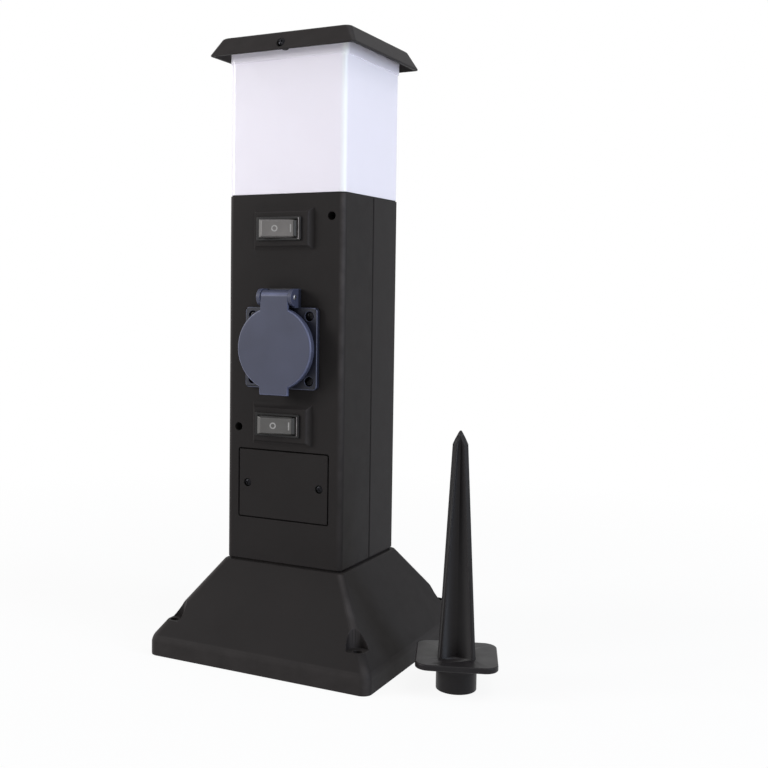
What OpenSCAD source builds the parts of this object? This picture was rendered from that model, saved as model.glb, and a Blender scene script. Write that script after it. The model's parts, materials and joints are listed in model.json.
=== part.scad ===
// Garden socket post: flared foot, two-shell pillar with two switches and a socket outlet,
// opal lantern with a roof cap, and the ground spike that plugs into the foot.
// Millimetres, +Z up, front towards -Y. The origin is the centre of the foot's underside.

/* [Foot] */
// Width of the square foot at the ground
foot_w = 152.5; // [140:0.5:180]
// Height of the foot up to the ledge that carries the pillar
foot_h = 59; // [50:1:80]
// Height of the upright skirt at the foot's edge
foot_skirt_h = 11; // [6:0.5:16]
// Radius of the skirt's upright corners
foot_corner_r = 6; // [3:0.5:10]
// Radius of the corners of the ledge round the pillar
ledge_corner_r = 4.5; // [3:0.5:8]
// Width of the ledge that shows round the pillar
foot_ledge = 1.5; // [0.5:0.25:4]
// Wall of the foot moulding
foot_wall = 3; // [2:0.25:4]
// Thickness of the deck under the pillar
deck_t = 3; // [2:0.25:5]
// Ground screw holes, in from the foot's edges
ground_inset = 12.25; // [11:0.25:14]
// Diameter of a ground screw hole
ground_hole_d = 5.5; // [4:0.5:8]
// Diameter of the pocket round a ground screw's head
ground_pocket_d = 14; // [11:0.5:16]
// Height of the shelf that a ground screw's head sits on
ground_shelf_z = 21.5; // [15:0.5:26]
// Thickness of the foot's inner ribs
foot_rib_t = 3; // [2:0.25:5]
// Room for the supply cable under the ribs
foot_rib_lift = 6; // [3:0.5:12]

/* [Pillar] */
// Width and depth of the square pillar
pillar_w = 81; // [78:0.5:95]
// Height of the pillar above the foot
pillar_h = 230; // [224:1:300]
// Wall of the pillar shells
pillar_wall = 3; // [2.5:0.25:4]
// Radius of the pillar's upright corners
pillar_corner_r = 4; // [3.5:0.5:9]
// Height of the shadow gap between foot and pillar
shadow_gap_h = 1.3; // [0.6:0.1:3]
// Depth of the shadow gap
shadow_gap_d = 1.2; // [0.6:0.1:1.6]
// Place of the seam between the shells, from the pillar's middle
seam_y = 1.5; // [-3:0.5:4]
// Gap between the two shells
seam_gap = 0.3; // [0.2:0.05:0.6]
// Width of the groove that shows along the seam
seam_groove_w = 1; // [0.6:0.1:2]
// Depth of the groove that shows along the seam
seam_groove_d = 0.8; // [0.4:0.1:1]
// Width of the seal strip in the seam
seam_seal_w = 1; // [0.6:0.1:1.2]
// Depth of the seal strip's groove
seam_seal_d = 1.2; // [0.8:0.1:2]

/* [Shell and foot screws] */
// Shell screws, in from the pillar's side faces
shell_screw_inset = 8.5; // [8.5:0.25:11]
// Upper shell screw, below the pillar's top
upper_shell_screw_drop = 13.7; // [13:0.1:15]
// Lower shell screw, above the foot
lower_shell_screw_up = 85.2; // [80:0.2:90]
// Diameter of the deep recess over a shell screw
shell_recess_d = 5.2; // [5:0.1:6]
// Depth of a shell screw's head seat below the front face
shell_recess_depth = 28; // [10:1:34]
// Diameter of a shell screw's shank
shell_screw_d = 2.6; // [2:0.1:3]
// Outer radius of the shell screw columns
shell_boss_r = 4.7; // [4:0.1:5]
// Length of a shell screw's shank
shell_screw_l = 26; // [20:1:32]
// Foot screws, in from the pillar's inner side walls
foot_screw_inset = 4; // [3.5:0.1:4.2]
// Foot screws, front and back from the middle
foot_screw_y = 19; // [16:0.5:22]
// Diameter of a foot screw's shank
foot_screw_d = 3.5; // [3:0.1:4]
// Length of a foot screw's shank
foot_screw_l = 16; // [10:1:18]
// Outer radius of the foot screw columns
foot_boss_r = 4.5; // [4.3:0.1:5]
// Height of the foot screw columns
foot_boss_h = 21; // [19:1:26]

/* [Switches] */
// Upper switch, below the pillar's top
upper_switch_drop = 21; // [20:0.5:26]
// Lower switch, above the foot
lower_switch_up = 88.4; // [86:0.2:96]
// Switch pads, sideways from the pillar's middle
pad_x = -0.6; // [-3:0.1:3]
// Switches, sideways from the middle of their pads
switch_shift = -1.2; // [-3:0.1:3]
// Width of a raised switch pad
pad_w = 42; // [38:0.5:48]
// Height of a raised switch pad
pad_h = 26; // [22:0.5:27]
// How far a pad stands out of the pillar
pad_proud = 4; // [2:0.25:6]
// Width of a pad's sloping edge
pad_slope = 2.8; // [1:0.1:4]
// Length of the switch bezel
bezel_l = 31; // [30:0.5:33]
// Width of the switch bezel
bezel_w = 14.4; // [14:0.2:16]
// Thickness of the switch bezel
bezel_t = 1.2; // [0.8:0.1:2]
// Corner radius of the switch bezel
bezel_r = 0.8; // [0.4:0.1:1.5]
// Length of the opening that the rocker swings in
window_l = 27; // [26.9:0.1:27.6]
// Width of the opening that the rocker swings in
window_w = 11.5; // [11.4:0.1:12]
// Wall of the switch housing
switch_wall = 0.7; // [0.5:0.1:0.9]
// Depth of the switch housing behind the pad's face
switch_depth = 20.8; // [16:0.2:24]
// Floor of the switch housing
switch_floor = 1.2; // [0.8:0.1:2]
// Gap between the housing and its cut-out
switch_gap = 0.15; // [0.1:0.05:0.3]
// Length of a rocker
rocker_l = 24.8; // [22:0.2:25]
// Width of a rocker
rocker_w = 11; // [10:0.1:11]
// Height of the rocker's face over its pivot
rocker_rise = 5.8; // [5:0.1:6]
// Length of the bevel at each end of the rocker
rocker_bevel_l = 2.2; // [1:0.1:3]
// Height of the bevel along the rocker's edges
rocker_bevel_h = 1.6; // [1.4:0.1:2]
// Width of the bevel along the rocker's long edges
rocker_bevel_w = 0.9; // [0.4:0.1:1.5]
// Tilt of the rocker either side of level
rocker_tilt = 13; // [8:0.5:14]
// Pivot, out from the pillar's face
pivot_out = 2.6; // [2:0.1:2.8]
// Radius of the rocker's pivot pins
pivot_r = 1.1; // [0.8:0.05:1.2]
// Running clearance of the pivot pins
pivot_clear = 0.05; // [0.02:0.01:0.1]
// Width of a terminal tab
tab_w = 4.8; // [4:0.1:6.3]
// Thickness of a terminal tab
tab_t = 0.8; // [0.5:0.1:1]
// Tabs, sideways from the switch's middle
tab_x = 6; // [4:0.5:9]
// Length of a tab behind the housing
tab_out = 7.8; // [6:0.2:10]

/* [Socket] */
// Socket, above the foot
socket_up = 136; // [134:0.5:140]
// Width of the square flange
flange_w = 50; // [48:0.5:54]
// Thickness of the flange
flange_t = 3.2; // [2.5:0.1:4]
// Corner radius of the flange
flange_r = 2.5; // [1:0.25:4]
// Spacing of the flange screws, both ways
flange_pitch = 39.5; // [37:0.25:40]
// Diameter of a flange screw's shank
flange_screw_d = 2.9; // [2.5:0.1:3.2]
// Length of a flange screw's shank
flange_screw_l = 11; // [8:0.5:14]
// Diameter of the recess over a flange screw
flange_recess_d = 6; // [5.6:0.1:7]
// Depth of the recess over a flange screw
flange_recess_depth = 1.8; // [1.2:0.1:2.2]
// Thickness of the flange seal
flange_seal_t = 0.8; // [0.5:0.1:1.2]
// Diameter of the pot that goes through the pillar's wall
pot_d = 43; // [42.6:0.1:43.6]
// Gap round the pot in the pillar's wall
pot_gap = 0.5; // [0.3:0.1:0.8]
// Thickness of the pot's floor
pot_floor = 4.6; // [3.5:0.1:6]
// Diameter of the plug recess
recess_d = 39.4; // [39:0.1:40]
// Depth of the plug recess
recess_depth = 18; // [17:0.25:19]
// Outer diameter of the collar round the recess
collar_d = 45.5; // [44.5:0.25:46]
// How far the collar's rim stands out of the pillar
collar_out = 8.6; // [7.5:0.1:9.5]
// Spacing of the two plug pin holes
plug_pitch = 19; // [18.5:0.1:19.5]
// Diameter of a plug pin hole
plug_hole_d = 5.4; // [5:0.1:6]
// Width of the guide ribs at the recess's sides
guide_w = 4.5; // [3:0.25:6]
// How far the guide ribs reach into the recess
guide_in = 1.6; // [1:0.1:2.5]
// Diameter of the cover behind the pot
back_d = 40; // [39:0.5:42]
// Depth of the cover behind the pot
back_depth = 16; // [14:0.5:18]
// Wall of the cover behind the pot
back_wall = 1.6; // [1.2:0.1:2]
// Diameter of the screw that holds that cover
back_screw_d = 2.5; // [2:0.1:3]
// Width of the earth clips
earth_w = 5; // [4:0.25:6]
// Thickness of the earth strap
earth_t = 0.8; // [0.6:0.1:1]
// Earth clips, from the recess's middle to their outer face
earth_y = 19.1; // [18.8:0.1:19.2]

/* [Socket lid] */
// Diameter of the lid
lid_d = 51; // [50.5:0.25:52]
// How far the lid's face stands out of the pillar
lid_out = 13; // [12.6:0.1:14]
// Thickness of the lid's plate
lid_t = 2.4; // [2:0.1:2.8]
// Depth of the rim behind the plate
lid_rim_h = 2.4; // [1.5:0.1:2.6]
// Wall of the lid's rim
lid_rim_t = 2.1; // [1.5:0.1:2.3]
// Rounding of the lid's front edge
lid_edge_r = 1.1; // [0.4:0.1:1.6]
// Width of the thumb tab
thumb_w = 19.6; // [14:0.2:24]
// How far the thumb tab reaches below the lid
thumb_h = 3; // [2:0.25:6]
// Height of the hinge over the socket's middle
hinge_up = 31.2; // [30.8:0.1:33]
// Radius of the lid's hinge barrel
barrel_r = 4.5; // [4.3:0.1:4.7]
// Width of the lid's hinge tongue
tongue_w = 18.8; // [16:0.2:20]
// Gap between the tongue and each ear
tongue_gap = 0.3; // [0.2:0.05:0.6]
// Thickness of a hinge ear
ear_t = 2.4; // [1.8:0.1:3]
// Radius of the ears' rounded front
ear_r = 5.2; // [4.8:0.1:5.6]
// Height of the ears' underside over the socket's middle
ear_low = 24.8; // [24.6:0.1:25.4]
// Thickness of the web behind the hinge
hinge_web_t = 2.4; // [1.6:0.1:2.8]
// Radius of the hinge pin
pin_r = 1.6; // [1.2:0.1:1.8]
// Running clearance of the hinge pin in the tongue
pin_clear = 0.05; // [0.02:0.01:0.1]
// How far the pin's ends stand out of the ears
pin_proud = 0.3; // [0.1:0.1:0.6]
// Gap between the lid seal and the collar's rim
lid_seal_gap = 0.3; // [0.2:0.05:0.5]
// Radius of the spring's coil, to the middle of the wire
coil_r = 2.8; // [2.6:0.05:2.9]
// Radius of the spring wire
coil_wire_r = 0.35; // [0.25:0.05:0.4]
// Length of the spring's coil along the pin
coil_l = 7.2; // [6.4:0.2:8]
// Whole turns of the spring
coil_turns = 5; // [3:1:5]

/* [Access cover] */
// Access cover's middle, above the foot
cover_up = 50; // [46:0.5:50]
// Width of the access cover
cover_w = 62.2; // [58:0.2:66]
// Height of the access cover
cover_h = 42.4; // [38:0.2:44]
// Thickness of the access cover
cover_t = 2.5; // [2:0.1:2.8]
// Corner radius of the access cover
cover_r = 0.6; // [0.6:0.1:3]
// Gap that shows round the access cover
cover_gap = 0.9; // [0.4:0.1:1.2]
// Thickness of the access cover's seal
cover_seal_t = 1; // [0.6:0.1:1.5]
// Width of the ledge under the cover's sides
cover_ledge_x = 11; // [10:0.5:13]
// Width of the ledge under the cover's top and bottom
cover_ledge_z = 4; // [3:0.5:7]
// Thickness of the ledge
cover_ledge_t = 3; // [2:0.25:4]
// Cover screws, sideways from the middle
cover_screw_x = 25.3; // [24.5:0.1:26.5]
// Diameter of a cover screw's shank
cover_screw_d = 2.5; // [2:0.1:3]
// Length of a cover screw's shank
cover_screw_l = 8.5; // [6:0.5:10]
// Diameter of the recess over a cover screw
cover_recess_d = 5.2; // [5:0.1:6]
// Depth of the recess over a cover screw
cover_recess_depth = 1.5; // [1:0.1:1.8]

/* [Lantern] */
// How far the diffuser's faces stand back from the pillar's
diffuser_set = 0.3; // [0.2:0.05:1]
// Wall of the diffuser
diffuser_wall = 2.5; // [2:0.1:3]
// Radius of the diffuser's upright corners
diffuser_corner_r = 4; // [3.5:0.25:8]
// Height between the pillar's top and the roof's eave
diffuser_show = 86; // [84:1:120]
// Length of the diffuser inside the roof cap
diffuser_lap = 8; // [7:0.25:8]
// How far the diffuser's top rim stands out
rim_proud = 0.8; // [0.4:0.1:1]
// Height of the rim below the eave
rim_show = 4; // [2:0.5:8]
// Thickness of the seal under the diffuser
diffuser_seal_t = 0.6; // [0.4:0.1:1]
// Depth of the lamp tray's underside below the pillar's top
tray_drop = 6; // [5.5:0.25:7]
// Thickness of the lamp tray
tray_t = 3; // [2:0.25:4]
// Height of the tray's rim inside the diffuser
spigot_h = 8; // [6:0.5:12]
// Wall of the tray's rim
spigot_t = 2; // [1.5:0.1:2.5]
// Gap round the tray's rim
spigot_gap = 0.3; // [0.2:0.05:0.5]
// Tray screws, in from the pillar's inner walls
tray_screw_inset = 8; // [7.5:0.25:9.5]
// Diameter of a tray screw's shank
tray_screw_d = 3; // [2.5:0.1:3.5]
// Length of a tray screw's shank
tray_screw_l = 12; // [8:1:16]
// Outer radius of the tray screw columns
tray_boss_r = 4; // [3.5:0.1:4.5]
// Height of the tray screw columns
tray_boss_h = 20; // [18:1:26]
// Width of the ledge under the tray
tray_ledge_w = 1.5; // [1:0.1:2.5]
// Thickness of the ledge under the tray
tray_ledge_t = 2; // [1.5:0.1:2.5]
// Radius of the lamp holder
holder_r = 19; // [18.5:0.25:22]
// Height of the lamp holder over the tray
holder_h = 30; // [28:0.5:32]
// Radius of the lamp holder's bore
holder_bore_r = 14.2; // [14:0.1:14.6]
// Floor of the lamp holder
holder_floor = 6; // [5:0.25:8]
// Radius of the threaded nipple under the holder
nipple_r = 5; // [4:0.25:6]
// Wall of the brass contact sleeve
sleeve_t = 0.6; // [0.4:0.1:0.8]
// Radius of the bulb's metal cap
bulb_cap_r = 13.2; // [12.8:0.05:13.3]
// Length of the bulb's metal cap
bulb_cap_h = 22; // [20:0.5:24]
// Radius of the bulb's globe
bulb_r = 22.5; // [20:0.5:24]
// Height of the globe's middle over the metal cap
bulb_up = 25; // [24:0.5:28]
// Wall of the bulb's glass and of its metal cap
bulb_wall = 1.2; // [0.8:0.1:1.6]

/* [Roof cap] */
// How far the eaves stand out past the pillar's faces
eave_over = 9.25; // [8:0.25:12]
// Thickness of the eave's edge
eave_t = 0.8; // [0.5:0.1:1.5]
// Corner radius of the eave
eave_corner_r = 3; // [2:0.5:10]
// How far the shoulder stands out past the pillar's faces
shoulder_over = 3.8; // [2.5:0.1:4.5]
// Height of the shoulder over the eave
shoulder_up = 11.3; // [11:0.1:14]
// Corner radius of the shoulder
shoulder_corner_r = 4; // [3:0.5:9]
// Rise of the shallow top over the shoulder
roof_rise = 3.8; // [1:0.2:6]
// Width of the flat in the middle of the top
roof_flat_w = 16; // [8:1:30]
// Wall of the roof cap
roof_wall = 2.2; // [1.8:0.1:2.4]
// Wall of the skirt inside the diffuser
roof_skirt_t = 2.2; // [1.6:0.1:3]
// Depth of that skirt below the eave
roof_skirt_down = 2; // [1:0.25:4]
// Gap between the skirt and the diffuser
roof_skirt_gap = 0.3; // [0.2:0.05:0.5]
// Roof screws, above the eave
roof_screw_up = 4.2; // [4:0.1:4.6]
// Diameter of a roof screw's shank
roof_screw_d = 2.9; // [2.5:0.1:3.2]
// Length of a roof screw's shank
roof_screw_l = 14; // [11:0.5:16]
// Diameter of the recess over a roof screw
roof_recess_d = 5.6; // [5.2:0.1:6]
// Depth of a roof screw's head seat below the slope's face
roof_recess_depth = 2; // [1.2:0.1:2.4]
// Outer radius of the roof screw columns
roof_boss_r = 3.6; // [3.2:0.1:3.8]
// Length of the columns inside the skirt
roof_boss_l = 8; // [6:0.5:10]

/* [Terminal block] */
// Spacing of the three poles
pole_pitch = 12; // [11.5:0.25:14]
// Width of the terminal block
block_w = 40; // [38:0.5:46]
// Depth of the terminal block
block_d = 16; // [15:0.5:18]
// Height of the terminal block
block_h = 18; // [17:0.5:22]
// Length of the posts that carry the block
block_post_l = 24; // [20:1:26]
// Radius of the posts that carry the block
block_post_r = 3.6; // [3.2:0.1:4]
// Diameter of a block screw's shank
block_screw_d = 2.6; // [2:0.1:2.8]
// Length of a block screw's shank
block_screw_l = 26; // [24:1:30]
// Width of a brass clamp
clamp_w = 6; // [5:0.25:6.5]
// Depth of a brass clamp
clamp_d = 9.5; // [9:0.25:10]
// Height of a brass clamp
clamp_h = 7.6; // [7:0.2:8]
// Spacing of the two wire holes of a pole
wire_hole_pitch = 4.4; // [4:0.1:5]
// Diameter of a clamp screw's shank
clamp_screw_d = 3; // [2.5:0.1:3.2]
// Length of a clamp screw's shank
clamp_screw_l = 6; // [5:0.5:8]

/* [Cable gland] */
// Gland, behind the pillar's middle
gland_y = 24; // [23:0.5:25]
// Radius of the gland's thread
gland_thread_r = 7.9; // [7:0.1:8.5]
// Radius of the cable bore
gland_bore_r = 5; // [3:0.25:5.5]
// Corner radius of the gland's hexagons
gland_hex_r = 11; // [10:0.25:11.5]
// Thickness of the gland's collar under the deck
gland_collar_t = 3.5; // [2.5:0.25:5]
// Thickness of the lock nut on the deck
gland_nut_t = 4; // [3:0.25:6]
// Length of the thread above the deck
gland_above = 7; // [6:0.5:10]
// Length of the thread below the collar
gland_below = 11; // [9:0.5:13]
// Length of the dome nut
gland_dome_h = 14; // [13:0.5:16]
// Thickness of the dome nut's end
gland_dome_end = 3; // [2:0.25:4]

/* [Wires] */
// Diameter of an inner wire
wire_d = 2.6; // [2.2:0.1:2.8]

/* [Ground spike] */
// Where the spike stands, to the right of the middle
spike_x = 114; // [112:1:140]
// Where the spike stands, in front of the middle
spike_y = 35.5; // [20:0.5:60]
// Turn of the spike about its own axis
spike_turn = 20; // [0:1:90]
// Diameter of the spike's plug
plug_d = 23.5; // [20:0.5:24]
// Diameter of the lip under the spike's plate
plug_lip_d = 26; // [24.5:0.1:28]
// Height of that lip
plug_lip_h = 5.5; // [3:0.25:8]
// Height of the plug with its lip
plug_h = 17; // [12:0.5:20]
// Clearance of the lip in the foot's hub
plug_clear = 0.3; // [0.1:0.05:0.5]
// Width of the spike's square plate
plate_w = 47; // [44:0.5:52]
// Thickness of the spike's plate
plate_t = 3.5; // [2.5:0.25:5]
// Corner radius of the spike's plate
plate_r = 8; // [4:0.5:12]
// Height of the whole spike
spike_h = 151; // [130:1:180]
// Height of the spike's point
spike_tip_h = 8; // [6:0.5:16]
// Radius of the blunt end of the point
point_r = 0.6; // [0.3:0.1:1.5]
// Span of the blades at the plate
blade_low_w = 27.5; // [22:0.5:32]
// Span of the blades under the point
blade_high_w = 9.6; // [7:0.2:12]
// Thickness of the blades
blade_t = 3.4; // [2.5:0.1:5]

/* [Hidden] */
$fn = 64;
// Overlap of pieces of one moulding, and reach of a cut past a face
bite = 0.5;
// Thickness of the thin slabs between which a sloping form is spanned
slab = 0.1;
// Clearance of a screw's shank in the hole that it is driven into
thread_clear = 0.05;
// Clearance of a screw's shank in a piece that it passes through
pass_clear = 0.3;
// Small clearance of pieces that are pushed into each other
push_clear = 0.1;

pillar_top = foot_h + pillar_h;
face = pillar_w / 2;
inner = face - pillar_wall;
foot_top_w = pillar_w + 2 * foot_ledge;
seam_front = seam_y - seam_gap / 2;
seam_rear = seam_y + seam_gap / 2;
ground_pitch = foot_w - 2 * ground_inset;
ground_at = ground_pitch / 2;
hub_bore_r = plug_lip_d / 2 + plug_clear;
hub_bore_h = plug_h + 1;
hub_r = hub_bore_r + foot_wall;

shell_screw_x = face - shell_screw_inset;
upper_shell_screw_z = pillar_top - upper_shell_screw_drop;
lower_shell_screw_z = foot_h + lower_shell_screw_up;
foot_screw_x = inner - foot_screw_inset;
SHELL_SCREWS = [[shell_screw_x, upper_shell_screw_z], [-shell_screw_x, lower_shell_screw_z]];

switch_x = pad_x + switch_shift;
upper_switch_z = pillar_top - upper_switch_drop;
lower_switch_z = foot_h + lower_switch_up;
box_l = window_l + 2 * switch_wall;
box_w = window_w + 2 * switch_wall;
box_back = pad_proud - switch_depth;
tab_end = box_back - tab_out;

socket_z = foot_h + socket_up;
flange_out = flange_seal_t + flange_t;
recess_low = collar_out - recess_depth;
pot_back = recess_low - pot_floor;
back_end = pot_back - back_depth;
flange_at = flange_pitch / 2;
flange_seat = flange_out - flange_recess_depth;
flange_boss_r = flange_screw_d / 2 + 2;
flange_boss_l = 6;
strap_w = earth_w + 2;

lid_r = lid_d / 2;
lid_back = lid_out - lid_t;
hinge_out = lid_out - barrel_r;
bracket_w = tongue_w + 2 * tongue_gap + 2 * ear_t;
spring_room = coil_wire_r + 0.35;
pocket_r = coil_r + spring_room;
pocket_l = coil_l + 4 * coil_wire_r + 1;
spring_leg = 8;

cover_z = foot_h + cover_up;
cover_room_w = cover_w + 2 * cover_gap;
cover_room_h = cover_h + 2 * cover_gap;
cover_low = -cover_t - cover_seal_t;
door_w = cover_w - 2 * cover_ledge_x;
door_h = cover_h - 2 * cover_ledge_z;

tray_z = pillar_top - tray_drop;
tray_top = tray_z + tray_t;
tray_screw_at = inner - tray_screw_inset;
eave_z = pillar_top + diffuser_show;
diffuser_w = pillar_w - 2 * diffuser_set;
diffuser_low = pillar_top + diffuser_seal_t;
diffuser_top = eave_z + diffuser_lap;
diffuser_in = diffuser_w / 2 - diffuser_wall;
spigot_w = 2 * (min(inner, diffuser_in) - spigot_gap);
spigot_r = 2.5;
snap_l = 30;
snap_out = 0.9;
snap_h = 1.5;
snap_z = pillar_top + spigot_h / 2;
holder_low = tray_top + holder_floor;
lamp_contact_h = 1.2;
lamp_contact_r = 4;
bulb_tip_z = holder_low + lamp_contact_h + push_clear;
bulb_tip_h = 2.6;
bulb_cap_z = bulb_tip_z + bulb_tip_h;
bulb_z = bulb_cap_z + bulb_cap_h;
lamp_wire_x = 10;
lamp_wire_y = 12;
lamp_wire_in = 4;

eave_w = pillar_w + 2 * eave_over;
shoulder_w = pillar_w + 2 * shoulder_over;
roof_skirt_w = 2 * (diffuser_in - roof_skirt_gap);
roof_ceiling = eave_z + shoulder_up - roof_wall;
roof_top = eave_z + shoulder_up + roof_rise;
roof_screw_z = eave_z + roof_screw_up;
slope_in = (eave_w - shoulder_w) / 2 / (shoulder_up - eave_t);
roof_face = eave_w / 2 - slope_in * (roof_screw_up - eave_t);
roof_seat = roof_face - roof_recess_depth;
roof_boss_end = diffuser_w / 2 + rim_proud + roof_skirt_gap;

block_back = inner - block_post_l;
block_front = block_back - block_d;
block_mid = block_back - block_d / 2;
block_top = cover_z + block_h / 2;
block_fix_x = pole_pitch / 2;
wire_hole_depth = 3.2;
POLES = [-pole_pitch, 0, pole_pitch];

gland_low = foot_h - deck_t - gland_collar_t - gland_below;
dome_low = gland_low - 2 - gland_dome_end;
gland_top = foot_h + gland_above;

NODES = [
    "foot_base", "pillar_front", "pillar_rear", "seam_seals", "shell_screws", "foot_screws",
    "access_cover", "cover_seal", "cover_screws",
    "upper_switch_body", "upper_switch_tabs", "upper_rocker",
    "lower_switch_body", "lower_switch_tabs", "lower_rocker",
    "socket_body", "socket_seal", "socket_screws", "socket_back", "socket_back_screw",
    "plug_contacts", "earth_strap", "socket_lid", "lid_seal", "hinge_pin", "lid_spring",
    "lamp_tray", "tray_screws", "lamp_holder", "holder_nut", "lamp_sleeve", "lamp_contact",
    "bulb_cap", "bulb_envelope", "diffuser", "diffuser_seal", "roof_cap", "roof_screws",
    "terminal_block", "terminal_clamps", "terminal_screws", "block_screws",
    "gland_body", "gland_nut", "gland_dome", "gland_seal",
    "live_wires", "neutral_wires", "earth_wire", "ground_spike"
];
node = "all";

black_plastic = [0.16, 0.16, 0.16];
dark_plastic = [0.12, 0.12, 0.12];
lid_plastic = [0.30, 0.32, 0.38];
rubber = [0.08, 0.08, 0.08];
steel = [0.72, 0.72, 0.74];
brass = [0.80, 0.66, 0.32];
opal = [0.93, 0.93, 0.96];

// Rectangle with true round corners
module rounded_rect(w, h, r) {
    square([w - 2 * r, h], center = true);
    square([w, h - 2 * r], center = true);
    for (x = [-1, 1], y = [-1, 1])
        translate([x * (w / 2 - r), y * (h / 2 - r)]) circle(r = r);
}

// Upright square prism with round corners, between two heights
module upright(w, r, low, high) {
    translate([0, 0, low]) linear_extrude(high - low) rounded_rect(w, w, r);
}

// Thin square slab with round corners, of the few sides that a spanned form needs
module thin_slab(w, r, z) {
    translate([0, 0, z]) linear_extrude(slab) rounded_rect(w, w, r, $fn = 32);
}

// Frame on the pillar's front: x to the right, y up, z out of the pillar
module on_front(x, z) {
    translate([x, -face, z]) rotate([90, 0, 0]) children();
}

// Pan-head screw along z: shank downwards from its seat at z = 0, cross slot in the head
module pan_screw(d, l, head_d, head_h) {
    slot_w = head_d / 6;
    slot_l = head_d * 0.6;
    difference() {
        union() {
            cylinder(d = head_d, h = head_h);
            translate([0, 0, -l]) cylinder(d = d, h = l + head_h / 2);
        }
        for (a = [0, 90])
            rotate([0, 0, a])
                translate([-slot_l / 2, -slot_w / 2, head_h / 2]) cube([slot_l, slot_w, head_h]);
    }
}

function unit(v) = v / norm(v);
function tangent(path, i) = unit(path[min(i + 1, len(path) - 1)] - path[max(i - 1, 0)]);
function ring(path, i, r, n) =
    let (t = tangent(path, i), a = unit(cross(t, [1, 0, 0.001])), b = cross(t, a))
    [for (k = [0 : n - 1]) path[i] + r * (cos(360 * k / n) * a + sin(360 * k / n) * b)];

// Tube of n sides along a path of points
module tube(path, r, n) {
    last = len(path) - 1;
    points = [for (i = [0 : last]) each ring(path, i, r, n)];
    sides = [
        for (i = [0 : last - 1], k = [0 : n - 1])
            let (a = i * n + k, b = i * n + (k + 1) % n, c = b + n, d = a + n)
            each [[a, c, b], [a, d, c]]
    ];
    start = [for (k = [1 : n - 2]) [0, k, k + 1]];
    end = [for (k = [1 : n - 2]) [last * n, last * n + k + 1, last * n + k]];
    polyhedron(points, concat(sides, start, end));
}

// Smooth path through hand-chosen points, m steps from each point to the next
function between(a, b, c, d, t) =
    0.5 * (2 * b + (c - a) * t + (2 * a - 5 * b + 4 * c - d) * t * t + (3 * b - a - 3 * c + d) * t * t * t);
function smooth(p, m) = [
    for (i = [0 : len(p) - 2], j = [0 : m - 1])
        between(p[max(i - 1, 0)], p[i], p[i + 1], p[min(i + 2, len(p) - 1)], j / m),
    p[len(p) - 1]
];

// Route whose first and last stretch start out straight, as a wire lies in its hole
function led(p) = let (n = len(p) - 1) concat(
    [p[0], (p[0] + p[1]) / 2],
    [for (i = [1 : n - 1]) p[i]],
    [(p[n - 1] + p[n]) / 2, p[n]]
);

// Least gap of a tube to itself, between points more than half a turn apart
function least_gap(path, r, apart) = min([
    for (i = [0 : len(path) - 1], j = [i + apart : 1 : len(path) - 1]) norm(path[i] - path[j])
]) - 2 * r;

// Width of the foot's outside at a height on its slope
function foot_width(z) =
    foot_w + (foot_top_w - foot_w) * (z - foot_skirt_h) / (foot_h - foot_skirt_h);

module foot_outside() {
    upright(foot_w, foot_corner_r, 0, foot_skirt_h);
    hull() {
        thin_slab(foot_w, foot_corner_r, foot_skirt_h - slab);
        thin_slab(foot_top_w, ledge_corner_r, foot_h - slab);
    }
}

module foot_hollow() {
    ceiling = foot_h - deck_t;
    upright(foot_w - 2 * foot_wall, foot_corner_r - foot_wall / 2, -bite, foot_skirt_h);
    hull() {
        thin_slab(foot_w - 2 * foot_wall, foot_corner_r - foot_wall / 2, foot_skirt_h - slab);
        thin_slab(foot_width(ceiling) - 2 * foot_wall, ledge_corner_r - foot_wall / 2, ceiling - slab);
    }
}

module at_ground_screws() {
    for (x = [-1, 1], y = [-1, 1]) translate([x * ground_at, y * ground_at, 0]) children();
}

module at_foot_screws() {
    for (x = [-1, 1], y = [-1, 1]) translate([x * foot_screw_x, y * foot_screw_y, 0]) children();
}

module foot_ribs() {
    for (a = [45, 135])
        rotate([0, 0, a])
            translate([-ground_pitch / sqrt(2), -foot_rib_t / 2, foot_rib_lift])
                cube([ground_pitch * sqrt(2), foot_rib_t, foot_h - deck_t + bite - foot_rib_lift]);
}

// Flared foot: shell, deck, corner pockets for ground screws, ribs and the spike's hub
module foot_base() {
    color(black_plastic) difference() {
        intersection() {
            foot_outside();
            union() {
                difference() {
                    translate([-foot_w, -foot_w, -bite]) cube([2 * foot_w, 2 * foot_w, foot_h + 2 * bite]);
                    foot_hollow();
                }
                at_ground_screws() cylinder(r = ground_pocket_d / 2 + foot_wall, h = foot_h);
                foot_ribs();
                cylinder(r = hub_r, h = hub_bore_h + foot_wall);
            }
        }
        at_ground_screws() {
            translate([0, 0, ground_shelf_z]) cylinder(d = ground_pocket_d, h = foot_h);
            translate([0, 0, -bite]) cylinder(d = ground_hole_d, h = foot_h);
        }
        translate([0, 0, -bite]) cylinder(r = hub_bore_r, h = hub_bore_h + bite);
        at_foot_screws()
            translate([0, 0, foot_h - deck_t - bite])
                cylinder(d = foot_screw_d + 2 * pass_clear, h = deck_t + 2 * bite);
        translate([0, gland_y, foot_h - deck_t - bite])
            cylinder(r = gland_thread_r + push_clear, h = deck_t + 2 * bite);
    }
}

// Four screws that hold the pillar shells to the foot's deck, from below
module foot_screws() {
    color(steel) at_foot_screws()
        translate([0, 0, foot_h - deck_t]) rotate([180, 0, 0])
            pan_screw(foot_screw_d, foot_screw_l + deck_t, 2 * foot_screw_d, 0.7 * foot_screw_d);
}

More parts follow.
